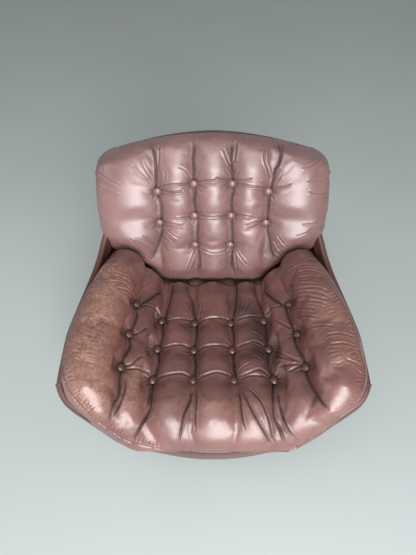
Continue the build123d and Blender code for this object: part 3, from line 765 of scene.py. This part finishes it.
seat_pleats = (
    (192.8, 384, 190, 401, 184, 415, 181, 431, 178, 445.4),
    (195, 385, 196, 399, 195, 415, 195.4, 432), (237.6, 384.6, 240, 401, 242, 419, 245.2, 431),
    (239.2, 384, 250, 407, 260, 425, 267, 437, 276.4, 452.4),
    (240.4, 383, 254, 393, 262, 403, 268, 417, 272.4, 435, 278.4, 451),
    (276.4, 384, 278, 395, 284, 421, 292, 435, 299.6, 442.4),
    (124, 371, 125.2, 387, 120.4, 403, 115.2, 415, 111.6, 424), (150, 384, 149.4, 395, 146, 409),
)
seat_smiles = (
    (167, 320.6, 178, 318.6, 190, 320, 195, 322), (199, 321.4, 210, 318, 222, 318, 230, 320.6),
    (236, 320, 246, 316.6, 256, 316, 262.4, 317.8), (163, 347.8, 172, 345, 182, 344.6, 191.6, 348),
    (198, 348.6, 208, 345.6, 220, 345, 230, 347), (237, 347, 246, 343.4, 256, 341.4, 265, 346.2),
    (157, 377.4, 170, 374, 182, 373, 190.8, 377), (199, 377.8, 210, 373, 220, 372, 231.6, 376.2),
    (240, 376.6, 250, 372, 260, 369, 269.6, 375), (241, 379, 252, 375, 267, 376.6),
    (139.4, 305.4, 148, 305, 156, 309.4, 160.4, 315.4),
    (133, 333.4, 138, 332.6, 144, 329.4, 148.4, 326.2),
    (124.8, 365, 131, 364, 138, 358, 144.4, 355),
    (126.4, 368.6, 136, 368.2, 144, 370.6, 150.4, 373), (267, 313.4, 272, 307.4, 282.4, 305),
    (272, 319, 280, 322.2, 290.8, 327.8), (273, 350, 286, 355.4, 300.4, 360.2),
    (274, 356, 288, 358.2, 301, 361.8), (278, 367, 290, 364.2, 301.2, 363),
    (288, 371.4, 296, 367.4, 301.6, 364.2), (167, 323, 165, 317, 168, 311),
)
seat_wrinkles = (
    (198.4, 383.4, 202.4, 391, 205.6, 397.4), (228, 316, 230, 309, 231, 301),
    (236, 317, 239, 307, 240, 299), (242, 315, 247, 307, 251, 301), (190, 315, 186, 307, 182, 304),
    (199, 317, 201, 309, 202, 303), (262, 339, 258, 335, 252, 332), (264, 365, 260, 359, 254, 356),
    (260, 347, 254, 344, 250, 344.6), (250, 363, 242, 367, 238, 373),
    (182, 353, 188, 355, 192.4, 353), (224, 339, 229, 343, 231, 346),
    (226, 355, 230, 353, 232.4, 351), (116, 272, 128, 277, 136, 285, 138.4, 295),
    (119, 276, 130, 282.2, 136.4, 293), (110, 281, 124, 283.4, 134.8, 295.4),
    (116, 287.4, 128, 291, 136, 299.4), (138.4, 295, 142, 287, 154, 281),
    (139.2, 299, 148, 291, 158, 287.4), (140, 302, 150, 296, 159.6, 291.4),
    (286, 269.4, 300, 260.2, 312.4, 255), (285.2, 275.4, 300, 265.4, 319, 265.4),
    (284.4, 281.4, 296, 273.4, 310, 270.2, 323.2, 274.2), (288, 287.4, 302, 283.4, 320.4, 284.2),
    (289.2, 293.4, 302, 288.2, 318, 287.4, 330.4, 292.6), (290, 299.4, 306, 295.4, 326.8, 299.4),
    (284.4, 301, 282, 293, 274, 287.4), (283, 302, 278, 295, 270, 289.4),
    (288, 305, 302, 301, 318, 301.4, 328, 305), (325.2, 335.4, 338, 333, 354.4, 337),
    (329.2, 344.2, 344, 343, 358.4, 347.4), (346, 359, 356, 363, 362.4, 367.4),
    (296, 263, 308, 257.4, 316, 254), (298, 278, 312, 276, 324.4, 280.2),
    (300, 291.4, 316, 291.8, 328.4, 296.2), (292, 309.4, 304, 307.4, 316, 308.6),
    (294, 317.4, 306, 315.4, 318, 317), (310, 327, 324, 325, 336, 326.6),
)
seat_border = (
    62.4, 363, 63.6, 375, 68.4, 389, 76.4, 401, 86, 411.4, 96.4, 420.6, 108, 428.6, 124.4, 439.4,
    138, 444.2, 158, 448.6, 178, 451.4, 202, 453.8, 226, 454.2, 250, 453.8, 278, 453, 298, 446.6,
    316, 436.6, 332, 427, 346, 415, 357, 401.4, 362, 389, 364.4, 375, 363.6, 365,
)

# The fronts of the arms, which bulge, and the ridges of the arm tops, with the spacing and the
# greatest depth of the folds across them.
arm_fronts = ((72, 380, 80, 398, 94, 412), (358, 380, 350, 396, 338, 410))
arm_tops = (
    ((298, 264, 318, 300, 336, 335, 350, 368), 0.0075, 0.0012),
    ((126, 268, 104, 305, 88, 340, 78, 368), 0.012, 0.0008),
)

# Where the hide is rubbed tan on the arms, and where it is soiled dark or, along the back of the
# seat, darkened with painted shade: the line, how far the patch reaches from it, and how strong it
# is.
seat_worn = (
    ((115, 270, 104, 295, 95, 320, 88, 345, 85, 360, 88, 380, 97, 392), 0.085, 1.0),
    ((136, 368, 130, 385, 124, 400), 0.05, 0.9),
    ((330, 300, 345, 330, 355, 355), 0.05, 0.45),
    ((170, 395, 210, 402, 255, 398), 0.045, 0.35),
)
seat_soil_and_shade = (
    ((238, 306, 252, 312, 258, 330, 256, 352), 0.055, 0.75),
    ((140, 300, 150, 325, 140, 350), 0.04, 0.4),
    # Painted shade, not soil: the dark along the back of the seat, under the back cushion.
    ((175, 290, 210, 289, 250, 290), 0.035, 0.3),
    ((278, 352, 268, 372, 276, 384), 0.035, 0.5),
)

seat_cushion = remeshed_copy("seat_and_arms_cushion", "seat_cushion")
seat_surface = surface_of(seat_cushion.data)
seat_start = vectors_of(seat_cushion.data)
seat_bulge = np.zeros(len(seat_start))
for line in arm_fronts:
    near_front = near_share(seat_start, on_surface(line, seat_surface)[::4], 0.075)
    seat_bulge = np.maximum(seat_bulge, smooth_step(near_front))
bulge_bottom = 0.41
bulge_fade = 0.04
bulge_height = 0.018
seat_bulge *= np.clip((seat_start[:, 2] - bulge_bottom) / bulge_fade, 0, 1)
seat_facings = vectors_of(seat_cushion.data, "normal")
move_to(seat_cushion.data, seat_start + seat_facings * bulge_height * seat_bulge[:, None])
seat_rests = [("tub_shell", 0.012), ("back_cushion", 0.01)]
seat_rests += [("seat_webbing", 0.01), ("seat_buttons", 0.006)]
puff(seat_cushion, seat_channels, seat_rests, cap=0.012)
doubled(seat_cushion)

chance = np.random.default_rng(41)
seat_creases = Creases(seat_cushion, chance)
channel_start = 14  # How many pixels further up the channels start, under the back cushion.
long_channels = [(run[0], run[1] - channel_start, *run) for run in seat_channels]
# How each kind of fold is pressed, with how dark the painted shade along it is.
sewn_shape = {"lip": 0.2, "dirt": 0.85, "fade": 0.09, "valley": (0.0065, 0.013)}
pleat_shape = {"lip": 0.5, "dirt": 0.8, "fade": 0.3, "valley": (0.003, 0.007)}
seat_creases.trace(long_channels, depth=0.007, width=0.0022, **sewn_shape)
seat_creases.trace(seat_pleats, depth=0.005, width=0.0019, **pleat_shape)
seat_creases.trace(seat_smiles, depth=0.0042, width=0.0028, lip=0.3, dirt=0.5)
seat_creases.trace(seat_wrinkles, depth=0.0022, width=0.0024, lip=0.6, dirt=0.12)
for line, pitch, deepest in arm_tops:
    ridge = on_surface(line, seat_creases.surface)
    for side in (-1, 1):
        seat_creases.gather_along(
            ridge,
            spacing=lambda place: pitch,
            reach=(0.02, 0.06),
            depth=(0.0004, deepest),
            towards=np.array((side * 3.0, 0, 0.5)),
        )

# The border's edge goes on along the outside of both arms, where the photograph can't show it.
seat_edge = bridged(on_surface(seat_border, seat_creases.surface), seat_creases.surface)
border_slope = 0.17
border_back = 0.14
longest_jump = 0.02
outer_runs = []
for end in (seat_edge[0], seat_edge[-1]):
    side = 1 if end[0] > 0 else -1
    run = [end]
    for place_y in np.arange(end[1] + 0.002, border_back, 0.0015):
        start = Vector((side, place_y, end[2] + border_slope * (place_y - end[1])))
        place = seat_creases.surface.ray_cast(start, Vector((-side, 0, 0)))[0]
        if place is not None and np.linalg.norm(np.array(place) - run[-1]) < longest_jump:
            run.append(np.array(place))
    outer_runs.append(np.array(run))
seat_edge = np.concatenate([outer_runs[0][:0:-1], seat_edge, outer_runs[1][1:]])
seat_creases.press(seat_edge, depth=0.0025, width=0.0026, lip=0.8, dirt=0.5, fade=0.02)
seat_creases.gather_round(middles("seat_buttons"), reach=(0.014, 0.036), depth=(0.001, 0.0024))
seat_creases.gather_along(
    seat_edge,
    spacing=lambda place: 0.007 if abs(place[0]) > 0.2 else 0.016,
    reach=(0.01, 0.036),
    depth=(0.0014, 0.0032),
    towards=np.array((0, -0.05, 0.62)),
)
# Painted shade where the seat meets the back cushion.
seat_creases.shade_against("back_cushion")
seat_creases.finish()

seat_final = vectors_of(seat_cushion.data)
for mark, patches in (("wear", seat_worn), ("soil_and_shade", seat_soil_and_shade)):
    marked = np.zeros(len(seat_final))
    for line, reach, strength in patches:
        spread = near_share(seat_final, on_surface(line, seat_creases.surface)[::6], reach)
        marked = np.maximum(marked, strength * spread**0.7)
    share_by(seat_cushion.data, mark, marked)
clothe(seat_cushion.data, cushion_leather)
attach(seat_cushion, "seat")
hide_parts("seat_cushion")

# Topstitching on the border, just above its edge: one short bead per stitch.
thread = Finish("waxed_thread", Roughness=0.5, Base_Color=tint(52, 30, 27))
stitch_pitch = 0.0055
stitch_size = Matrix.Diagonal((0.0019, 0.0005, 0.0005, 1))
stitch_rise = 0.0045
stitch_out = 0.0002
seat_final_surface = surface_of(seat_cushion.data)
stitches = bmesh.new()
edge_gone = gone_along(seat_edge)
ahead = 0.004
for at in np.arange(ahead, edge_gone[-1] - 0.006, stitch_pitch):
    start, after = (Vector(point_at(place, edge_gone, seat_edge)) for place in (at, at + ahead))
    place, facing = seat_final_surface.find_nearest(start, 0.03)[:2]
    side = facing.cross(after - start).normalized()
    side = side if side.z > 0 else -side
    place, facing = seat_final_surface.find_nearest(place + side * stitch_rise, 0.03)[:2]
    along = (after - start).normalized()
    side = facing.cross(along).normalized()
    turn = Matrix((along, side, facing)).transposed().to_4x4()
    bead = Matrix.Translation(place + facing * stitch_out) @ turn @ stitch_size
    bmesh.ops.create_icosphere(stitches, subdivisions=1, radius=1.0, matrix=bead)
stitch_mesh = mesh_from("border_stitches", stitches)
made_piece("border_stitches", stitch_mesh, thread)


# Back cushion: a loose foam-filled cushion in the same hide, painted lighter to stand in for
# the brighter light on it, gathered round its edge, with four sewn channels and ten buttons. It
# leans on the shell and rests on the seat cushion.
back_channels = (
    (
        150, 141.3, 153.3, 150, 155.3, 161.7, 155.8, 175, 156.2, 189.2, 158.3, 196.7, 160.8,
        208.3, 161, 222.5, 161.7, 231.7, 160, 240, 156.7, 250, 150.8, 262,
    ),
    (
        193.3, 136.3, 194.2, 146.7, 193.3, 158.3, 193.7, 170, 194, 183.3, 195, 191.7, 194.2, 200,
        195.8, 215.2, 197.5, 223.3, 197, 233.3, 197.2, 246.8, 198.3, 256.7, 198.8, 265, 196.3,
        275.8, 197, 283,
    ),
    (
        233.3, 137, 232.5, 146.7, 231.7, 158.3, 232.5, 170, 232.8, 182.7, 233.3, 191.7, 231.7,
        200, 231.8, 214.7, 231.7, 225, 232, 233.3, 232.2, 246, 231.7, 256.7, 231.3, 266.7, 233.8,
        275, 233.8, 283,
    ),
    (
        276.7, 140.3, 280.8, 150, 279.2, 161.7, 275, 170, 273.3, 180, 271.2, 188.7, 269.2, 198.3,
        268.3, 208.3, 267.3, 222.3, 267.5, 231.7, 269.2, 241.7, 270.8, 251.7, 273.3, 261.3,
    ),
)
back_folds = (
    (158.3, 145, 158.7, 155, 157.3, 168.3), (235.8, 140.8, 235.8, 150, 233.8, 162.5),
    (223.3, 148.3, 226.7, 156.7, 230.8, 165.8),
    (265.8, 146.7, 264.7, 158.3, 268.3, 170, 270.7, 180.8),
    (282.5, 143.3, 281.3, 156.7, 276.7, 168.3),
    (160, 187, 171.7, 184.7, 181.7, 184.3, 191.7, 183.3), (160, 190.8, 171.7, 192.5, 183.3, 190.8),
    (196.7, 182.5, 206.7, 180.8, 217.5, 180.5), (215, 178, 230, 180.8),
    (235.8, 181.3, 243.3, 180.3, 252.5, 179), (235.8, 183.3, 248.3, 186, 258.3, 187.3, 268, 188.3),
    (274.2, 188, 283.3, 187.3, 291.7, 184.2), (163.3, 223, 170.8, 223.7, 183.7, 226),
    (175, 219.3, 185, 217.7, 193.3, 215.8), (198.3, 215.8, 211.7, 217.2, 229.2, 215.8),
    (234.2, 215.8, 243.3, 215.8, 252, 217.7), (245.8, 226, 255, 222.3, 264.7, 221.7),
    (199.7, 249.2, 211.7, 253.2, 221.7, 252.5, 229.2, 248.7),
    (195.8, 249.2, 192.5, 258.3, 187.5, 270, 185, 275.8), (198.7, 250, 200, 258.3, 199.7, 270),
    (234.2, 248.7, 240, 256.7, 247, 265.3), (233.7, 250, 235.3, 258.3, 237, 268.7),
)
back_wrinkles = (
    (140, 156.7, 143.7, 166.7, 152, 178.7), (133.3, 165, 140, 173.3, 150.8, 182.5),
    (161.7, 168.7, 164.7, 175, 163.3, 181.7), (164.2, 226.3, 170, 233.3, 178.7, 238.7),
    (163.3, 228.3, 166.7, 235.8, 172.8, 242), (140, 241.7, 146.7, 248.7, 153.7, 253.7),
    (135, 240, 143.3, 249.3, 152, 257), (129.7, 238.3, 140, 249.3, 150.3, 259.7),
    (142.5, 235, 150, 241.7, 156.7, 245.8), (270.8, 241.7, 275, 251.7, 282, 257),
    (273.3, 240, 278.3, 248.7, 285.3, 253.7), (276.7, 235, 283.3, 243.7, 290.3, 248.7),
    (270, 246.7, 273.3, 255.8, 278.3, 260.3), (95, 168.7, 106.7, 178.7, 119.2, 185.3),
    (97.5, 185.3, 106.7, 191.7, 119.2, 195.8), (96.7, 175, 105, 183.3, 115, 189.2),
    (321.7, 153.3, 315, 163.3, 301.7, 168.3), (331.7, 175, 321.7, 180, 306.7, 181.7),
    (330, 191.7, 320, 193.3, 308.3, 191.7), (325, 218.3, 315, 223.3, 301.7, 225),
    (325.8, 229.2, 316.7, 228.3, 306.7, 231.7), (315, 235, 306.7, 233.3, 296.7, 236.7),
    (178.3, 166.7, 185, 170, 191, 178.3), (200, 170, 197, 175, 195.7, 180),
    (225, 170, 228.7, 175, 231, 180), (240, 170, 237, 175, 234.7, 180),
    (281.7, 175, 278.3, 180, 274.2, 185), (260, 181.7, 265, 184.2, 269.2, 186.7),
    (201.7, 208.3, 200, 211.7, 198.3, 213.3), (188.3, 208.3, 191.7, 210.8, 193.3, 212.5),
    (226.7, 208.3, 228.7, 210.8, 230.3, 212.5), (201.7, 241.7, 200, 243.7, 198.7, 245),
    (206.7, 188.3, 201.7, 187, 197.7, 185), (201.7, 195, 200, 191.7, 196.7, 187),
    (225, 191.7, 228.7, 189.2, 231, 185.3),
)


def eased(ring):
    """A closed run of rows, each averaged with its neighbours."""
    return (np.roll(ring, 1, 0) + 2 * ring + np.roll(ring, -1, 0)) / 4


back_cushion = remeshed_copy("back_rest_cushion", "back_cushion")
lobe_start = 0.27
lobe_fade = 0.07
lobe_corners = back_cushion.vertex_groups.new(name="lobe_corners")
for index, place in enumerate(vectors_of(back_cushion.data)):
    outward = min(1.0, max(0.0, (abs(place[0]) - lobe_start) / lobe_fade))
    if outward > 0:
        lobe_corners.add([index], float(outward), "REPLACE")
modify(back_cushion, "SMOOTH", iterations=30, vertex_group="lobe_corners")
settle(back_cushion)
back_cushion.vertex_groups.clear()
back_rests = [("tub_shell", 0.008), ("seat_cushion", 0.008), ("back_buttons", 0.006)]
puff(back_cushion, back_channels, back_rests, cap=0.016)
doubled(back_cushion)

back_creases = Creases(back_cushion, chance)
back_middle = np.array((0, 0.27, 0.57))
back_upward = np.array((0, 0.394, 0.919))
from_middle = back_creases.places - back_middle
bearing = np.arctan2(from_middle @ back_upward, from_middle[:, 0])
distance_out = np.hypot(from_middle @ back_upward, from_middle[:, 0])
edge_steps = 260
edge_bin = ((bearing + math.pi) / (2 * math.pi) * edge_steps).astype(int) % edge_steps
back_edge = []
for step in range(edge_steps):
    members = np.flatnonzero(edge_bin == step)
    back_edge.append(back_creases.places[members[distance_out[members].argmax()]])
back_edge = np.array(back_edge)
for _ in range(6):
    back_edge = eased(back_edge)
# How each kind of fold is pressed, with how dark the painted shade along it is.
sewn_shape = {"lip": 0.2, "dirt": 0.75, "fade": 0.08, "valley": (0.0055, 0.014)}
back_creases.trace(back_channels, depth=0.006, width=0.002, **sewn_shape)
back_creases.trace(back_folds, depth=0.0038, width=0.0026, lip=0.5, dirt=0.35)
back_creases.trace(back_wrinkles, depth=0.0018, width=0.0024, lip=0.6, dirt=0.1)
back_creases.gather_round(middles("back_buttons"), reach=(0.014, 0.034), depth=(0.001, 0.0024))
inner_edge = back_edge[np.abs(back_edge[:, 0]) < lobe_start]
edge_below = inner_edge[:, 2] < back_middle[2]
for gathered in (inner_edge[edge_below], inner_edge[~edge_below]):
    back_creases.gather_along(
        gathered,
        spacing=lambda place: 0.018,
        reach=(0.012, 0.03),
        depth=(0.001, 0.0024),
        towards=back_middle + np.array((0, -0.12, 0)),
    )
# Painted shade where the back cushion meets the seat.
back_creases.shade_against("seat_cushion")
back_creases.finish()
clothe(back_cushion.data, back_leather)
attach(back_cushion, "seat")
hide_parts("back_cushion")


# Leather panels: six pieces of hide glued over the outside of the tub, sewn together along
# six piped seams, and turned over the rim and under the floor, where they are stapled.
panel_nodes = ["cover_front", "cover_front_right", "cover_right"]
panel_nodes += ["cover_back", "cover_left", "cover_front_left"]
skin_shape = bmesh.new()
for panel_node in panel_nodes:
    skin_shape.from_mesh(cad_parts[panel_node].data)
skin_surface = BVHTree.FromBMesh(skin_shape)
skin_shape.free()
skin_bottom, skin_top = (corner.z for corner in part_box("cover_back"))
seam_rise = 0.66
seam_bottom = 0.2
# Each seam of the right side: the direction from which it is seen, and its place at the
# bottom and far above the rim. The seams of the left side are its mirror image.
front_seam = ("front", 0.2408, 0.2619)
side_seam = ("side", -0.2449, -0.2998)
rear_seam = ("rear", 0.2249, 0.3001)
# About half of the tub's width and of its depth, for where no skin is found.
half_width = 0.42
half_depth = 0.37
outside = 1.2


def skin_at(angle, height):
    """The point and facing of the tub's outside in a direction, at a height."""
    outward = Vector((math.cos(angle), math.sin(angle), 0))
    start = outside * outward + Vector((0, 0, height))
    place, facing = skin_surface.ray_cast(start, -outward)[:2]
    if place is None or place.xy.dot(outward.xy) < 0.1 or facing.dot(outward) < 0.2:
        return None
    return place, facing


def seam_angle(seam, side, height):
    """The direction in which a seam lies at a height, between the panels on its two sides."""
    kind, low, high = seam
    along = low + (high - low) * (height - seam_bottom) / seam_rise
    facing = 1 if kind == "rear" else -1
    sides = []
    for aside in (-0.003, 0.003):
        if kind == "side":
            start = Vector((side * outside, along + aside, height))
            inward = Vector((-side, 0, 0))
        else:
            start = Vector((side * (along + aside), facing * outside, height))
            inward = Vector((0, -facing, 0))
        place = skin_surface.ray_cast(start, inward)[0]
        if place is not None and place.dot(inward) < 0:
            sides.append(place)
    if sides:
        middle = sum(sides, Vector()) / len(sides)
        return math.atan2(middle.y, middle.x)
    if kind == "side":
        return math.atan2(along, side * half_width)
    return math.atan2(facing * half_depth, side * along)


def column(start_seam, end_seam, share):
    """The angle of one column of a panel as a function of the height."""

    def angle(height):
        start = seam_angle(*start_seam, height)
        end = seam_angle(*end_seam, height)
        if end < start:
            end += 2 * math.pi
        return start + (end - start) * share

    return angle


def rim_of(angle):
    """The height of the rim along a column."""
    low, high = skin_bottom + 0.03, skin_top + 0.001
    while high - low > 0.0002:
        middle = (low + high) / 2
        if skin_at(angle(middle), middle):
            low = middle
        else:
            high = middle
    return low


def unit(rows):
    """Rows scaled to length one."""
    return rows / np.linalg.norm(rows, axis=-1, keepdims=True)


def hide_piece(name, shape, face, outward, thickness):
    """A piece of hide with its grain side, known by one of its faces, turned outwards."""
    bmesh.ops.recalc_face_normals(shape, faces=shape.faces)
    if shape.faces[face].normal.dot(Vector(outward)) < 0:
        bmesh.ops.reverse_faces(shape, faces=shape.faces)
    piece = made_piece(name, mesh_from(name, shape), panel_leather)
    modify(piece, "SOLIDIFY", thickness=thickness, offset=-1)
    settle(piece)
    return piece


panel_rows = 40
panel_thickness = 0.0012
tuck_depth = 0.0012
tuck_width = 0.004
puff_width = 0.05
puff_share = 0.12
# Where the hide turns under the floor: how far out from the panel's foot, and how far up.
under_roll = ((-0.003, -0.0022), (-0.009, -0.0026), (-0.018, -0.0022))


def sew_panel(name, node, start_seam, end_seam, columns, puff_height):
    """One hide panel between two seams, with its turned edges, replacing a CAD cover."""
    grid = []
    for across in range(columns + 1):
        angle = column(start_seam, end_seam, across / columns)
        rim = rim_of(angle)
        line = []
        for row in range(panel_rows + 1):
            height = skin_bottom + 0.0008 + (rim - 0.0004 - skin_bottom) * row / panel_rows
            line.append(skin_at(angle(height), height) or line[-1])
        grid.append(line)
    places = np.array([[tuple(place) for place, facing in line] for line in grid])
    facings = np.array([[tuple(facing) for place, facing in line] for line in grid])
    for _ in range(2):
        facings[1:-1] = facings[1:-1] + facings[:-2] + facings[2:]
        facings = unit(facings)
    from_seam = gone_along(places[:, panel_rows // 2])
    from_seam = np.minimum(from_seam, from_seam[-1] - from_seam)[:, None]
    tucked = -tuck_depth * np.exp(-from_seam / tuck_width)
    padding = puff_height * smooth_step(from_seam / puff_width)
    up_share = np.linspace(0, 1, panel_rows + 1)[None]
    for share in (up_share, 1 - up_share):
        padding = padding * smooth_step(share / puff_share)
    places = places + facings * (tucked + padding)[..., None]
    flat = unit(facings[:, 0] * (1, 1, 0))
    bottom = [places[:, 0] + flat * out + np.array((0, 0, up)) for out, up in under_roll]
    rows = np.stack(bottom[::-1] + list(places.transpose(1, 0, 2)))
    shape = bmesh.new()
    bmesh.ops.create_grid(shape, x_segments=columns, y_segments=len(rows) - 1, size=0.5)
    shape.verts.ensure_lookup_table()
    for vertex in shape.verts:
        across = round((vertex.co.x + 0.5) * columns)
        up = round((vertex.co.y + 0.5) * (len(rows) - 1))
        vertex.co = rows[up, across]
    outward = facings[columns // 2, panel_rows // 2]
    shape.faces.ensure_lookup_table()
    piece = hide_piece(name, shape, len(shape.faces) // 2, outward, panel_thickness)
    doubled(piece)
    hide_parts(node)


sew_panel("front_apron_leather", "cover_front", (front_seam, -1), (front_seam, 1), 56, 0.003)
sew_panel("front_right_leather", "cover_front_right", (front_seam, 1), (side_seam, 1), 30, 0.002)
sew_panel("right_side_leather", "cover_right", (side_seam, 1), (rear_seam, 1), 76, 0.003)
sew_panel("back_leather", "cover_back", (rear_seam, 1), (rear_seam, -1), 62, 0.003)
sew_panel("left_side_leather", "cover_left", (rear_seam, -1), (side_seam, -1), 76, 0.003)
sew_panel("front_left_leather", "cover_front_left", (side_seam, -1), (front_seam, -1), 30, 0.002)


# The turned edge: the hide of the panels folded over the rim of the shell and glued down
# inside, with the fold rounded by a thin strip of felt.
rim_line = []
rim_facing = []
rim_turns = 1440
facing_below = 0.012
for turn in 2 * math.pi * np.arange(rim_turns) / rim_turns:
    height = rim_of(lambda any_height: turn)
    found = skin_at(turn, height)
    below = skin_at(turn, height - facing_below)
    if found and below:
        rim_line.append(found[0])
        rim_facing.append(below[1])
rim_line = np.array([*rim_line, rim_line[0]], float)
rim_facing = np.array([*rim_facing, rim_facing[0]], float)
rim_gone = gone_along(rim_line)
rim_count = 700
rim_at = np.linspace(0, rim_gone[-1], rim_count, endpoint=False)
rim_even = point_at(rim_at, rim_gone, rim_line)
for _ in range(4):
    rim_even = eased(rim_even)
rim_along = unit(np.roll(rim_even, -1, 0) - np.roll(rim_even, 1, 0))
rim_facing = point_at(rim_at, rim_gone, rim_facing)
for _ in range(12):
    rim_facing = unit(eased(rim_facing))
rim_over = np.cross(rim_facing, rim_along)
rim_over = unit(rim_over * (1 if rim_over[:, 2].mean() > 0 else -1))

# The profile of the fold, from the outside over the rim to the inside: how far each place lies
# out from the rim's edge, and how far above it.
roll_profile = (
    (0.0004, -0.014), (0.0011, -0.011), (0.0014, -0.004), (0.001, 0.0006), (-0.0006, 0.0026),
    (-0.004, 0.0038), (-0.0073, 0.0042), (-0.0106, 0.0038), (-0.014, 0.0026), (-0.0158, 0.0006),
    (-0.0162, -0.004), (-0.0158, -0.012), (-0.0156, -0.024), (-0.0156, -0.038), (-0.0156, -0.052),
)
roll_rows = []
roll_flat = -0.005
for out, up in roll_profile:
    if up > roll_flat:
        roll_rows.append(rim_even + rim_facing * out + rim_over * up)
        continue
    row = []
    for place, facing, over in zip(rim_even, rim_facing, rim_over):
        lowered = Vector(place + over * up)
        near, near_facing = skin_surface.find_nearest(lowered)[:2]
        if near_facing.dot(Vector(facing)) < 0.5:
            near = lowered
        row.append(tuple(near + Vector(facing) * out))
    roll_rows.append(np.array(row))
roll_rows = np.stack(roll_rows)
roll = bmesh.new()
roll_corners = [[roll.verts.new(place) for place in row] for row in roll_rows]
for lower, upper in zip(roll_corners, roll_corners[1:]):
    for step in range(rim_count):
        after = (step + 1) % rim_count
        roll.faces.new((lower[step], lower[after], upper[after], upper[step]))
roll_face = rim_count // 4
roll.faces.ensure_lookup_table()
hide_piece("rim_turned_leather", roll, roll_face, rim_facing[roll_face], 0.001)


# Seam piping: a cord in a folded strip of the same hide, sewn into each seam of the panels. It
# runs from the floor up the tub and over the rim, where its end is tucked in.
def piping(name, points, radius):
    """A round piping laid along points, thinner towards its ends."""
    curve = bpy.data.curves.new(name, "CURVE")
    curve.dimensions = "3D"
    curve.bevel_depth = radius
    curve.bevel_resolution = 3
    curve.use_fill_caps = True
    run = curve.splines.new("POLY")
    run.points.add(len(points) - 1)
    for point, place in zip(run.points, points):
        point.co = (*place, 1)
    ends = min(4, len(points) // 3)
    for step in range(ends):
        run.points[step].radius = run.points[-1 - step].radius = (step + 1) / (ends + 1)
    source = placed(name, curve)
    mesh = bpy.data.meshes.new_from_object(evaluated(source))
    bpy.data.objects.remove(source)
    made_piece(name, mesh, panel_leather)


piping_out = 0.0008
for seam in (front_seam, side_seam, rear_seam):
    for side, side_name in ((-1, "left"), (1, "right")):
        seam_line = column((seam, side), (seam, side), 0)
        welt = []
        for height in np.linspace(skin_bottom + 0.001, rim_of(seam_line), 60):
            found = skin_at(seam_line(height), height)
            if found:
                welt.append(found[0] + found[1] * piping_out)
        crossing = np.linalg.norm(rim_even - np.array(welt[-1]), axis=1).argmin()
        for row, (out, up) in zip(roll_rows, roll_profile):
            if up > -0.002 and out > -0.015:
                welt.append(Vector(row[crossing]) + Vector(rim_facing[crossing]) * piping_out)
        welt.append(Vector(roll_rows[-4][crossing]))
        piping(f"{side_name}_{seam[0]}_seam_piping", welt, 0.0024)
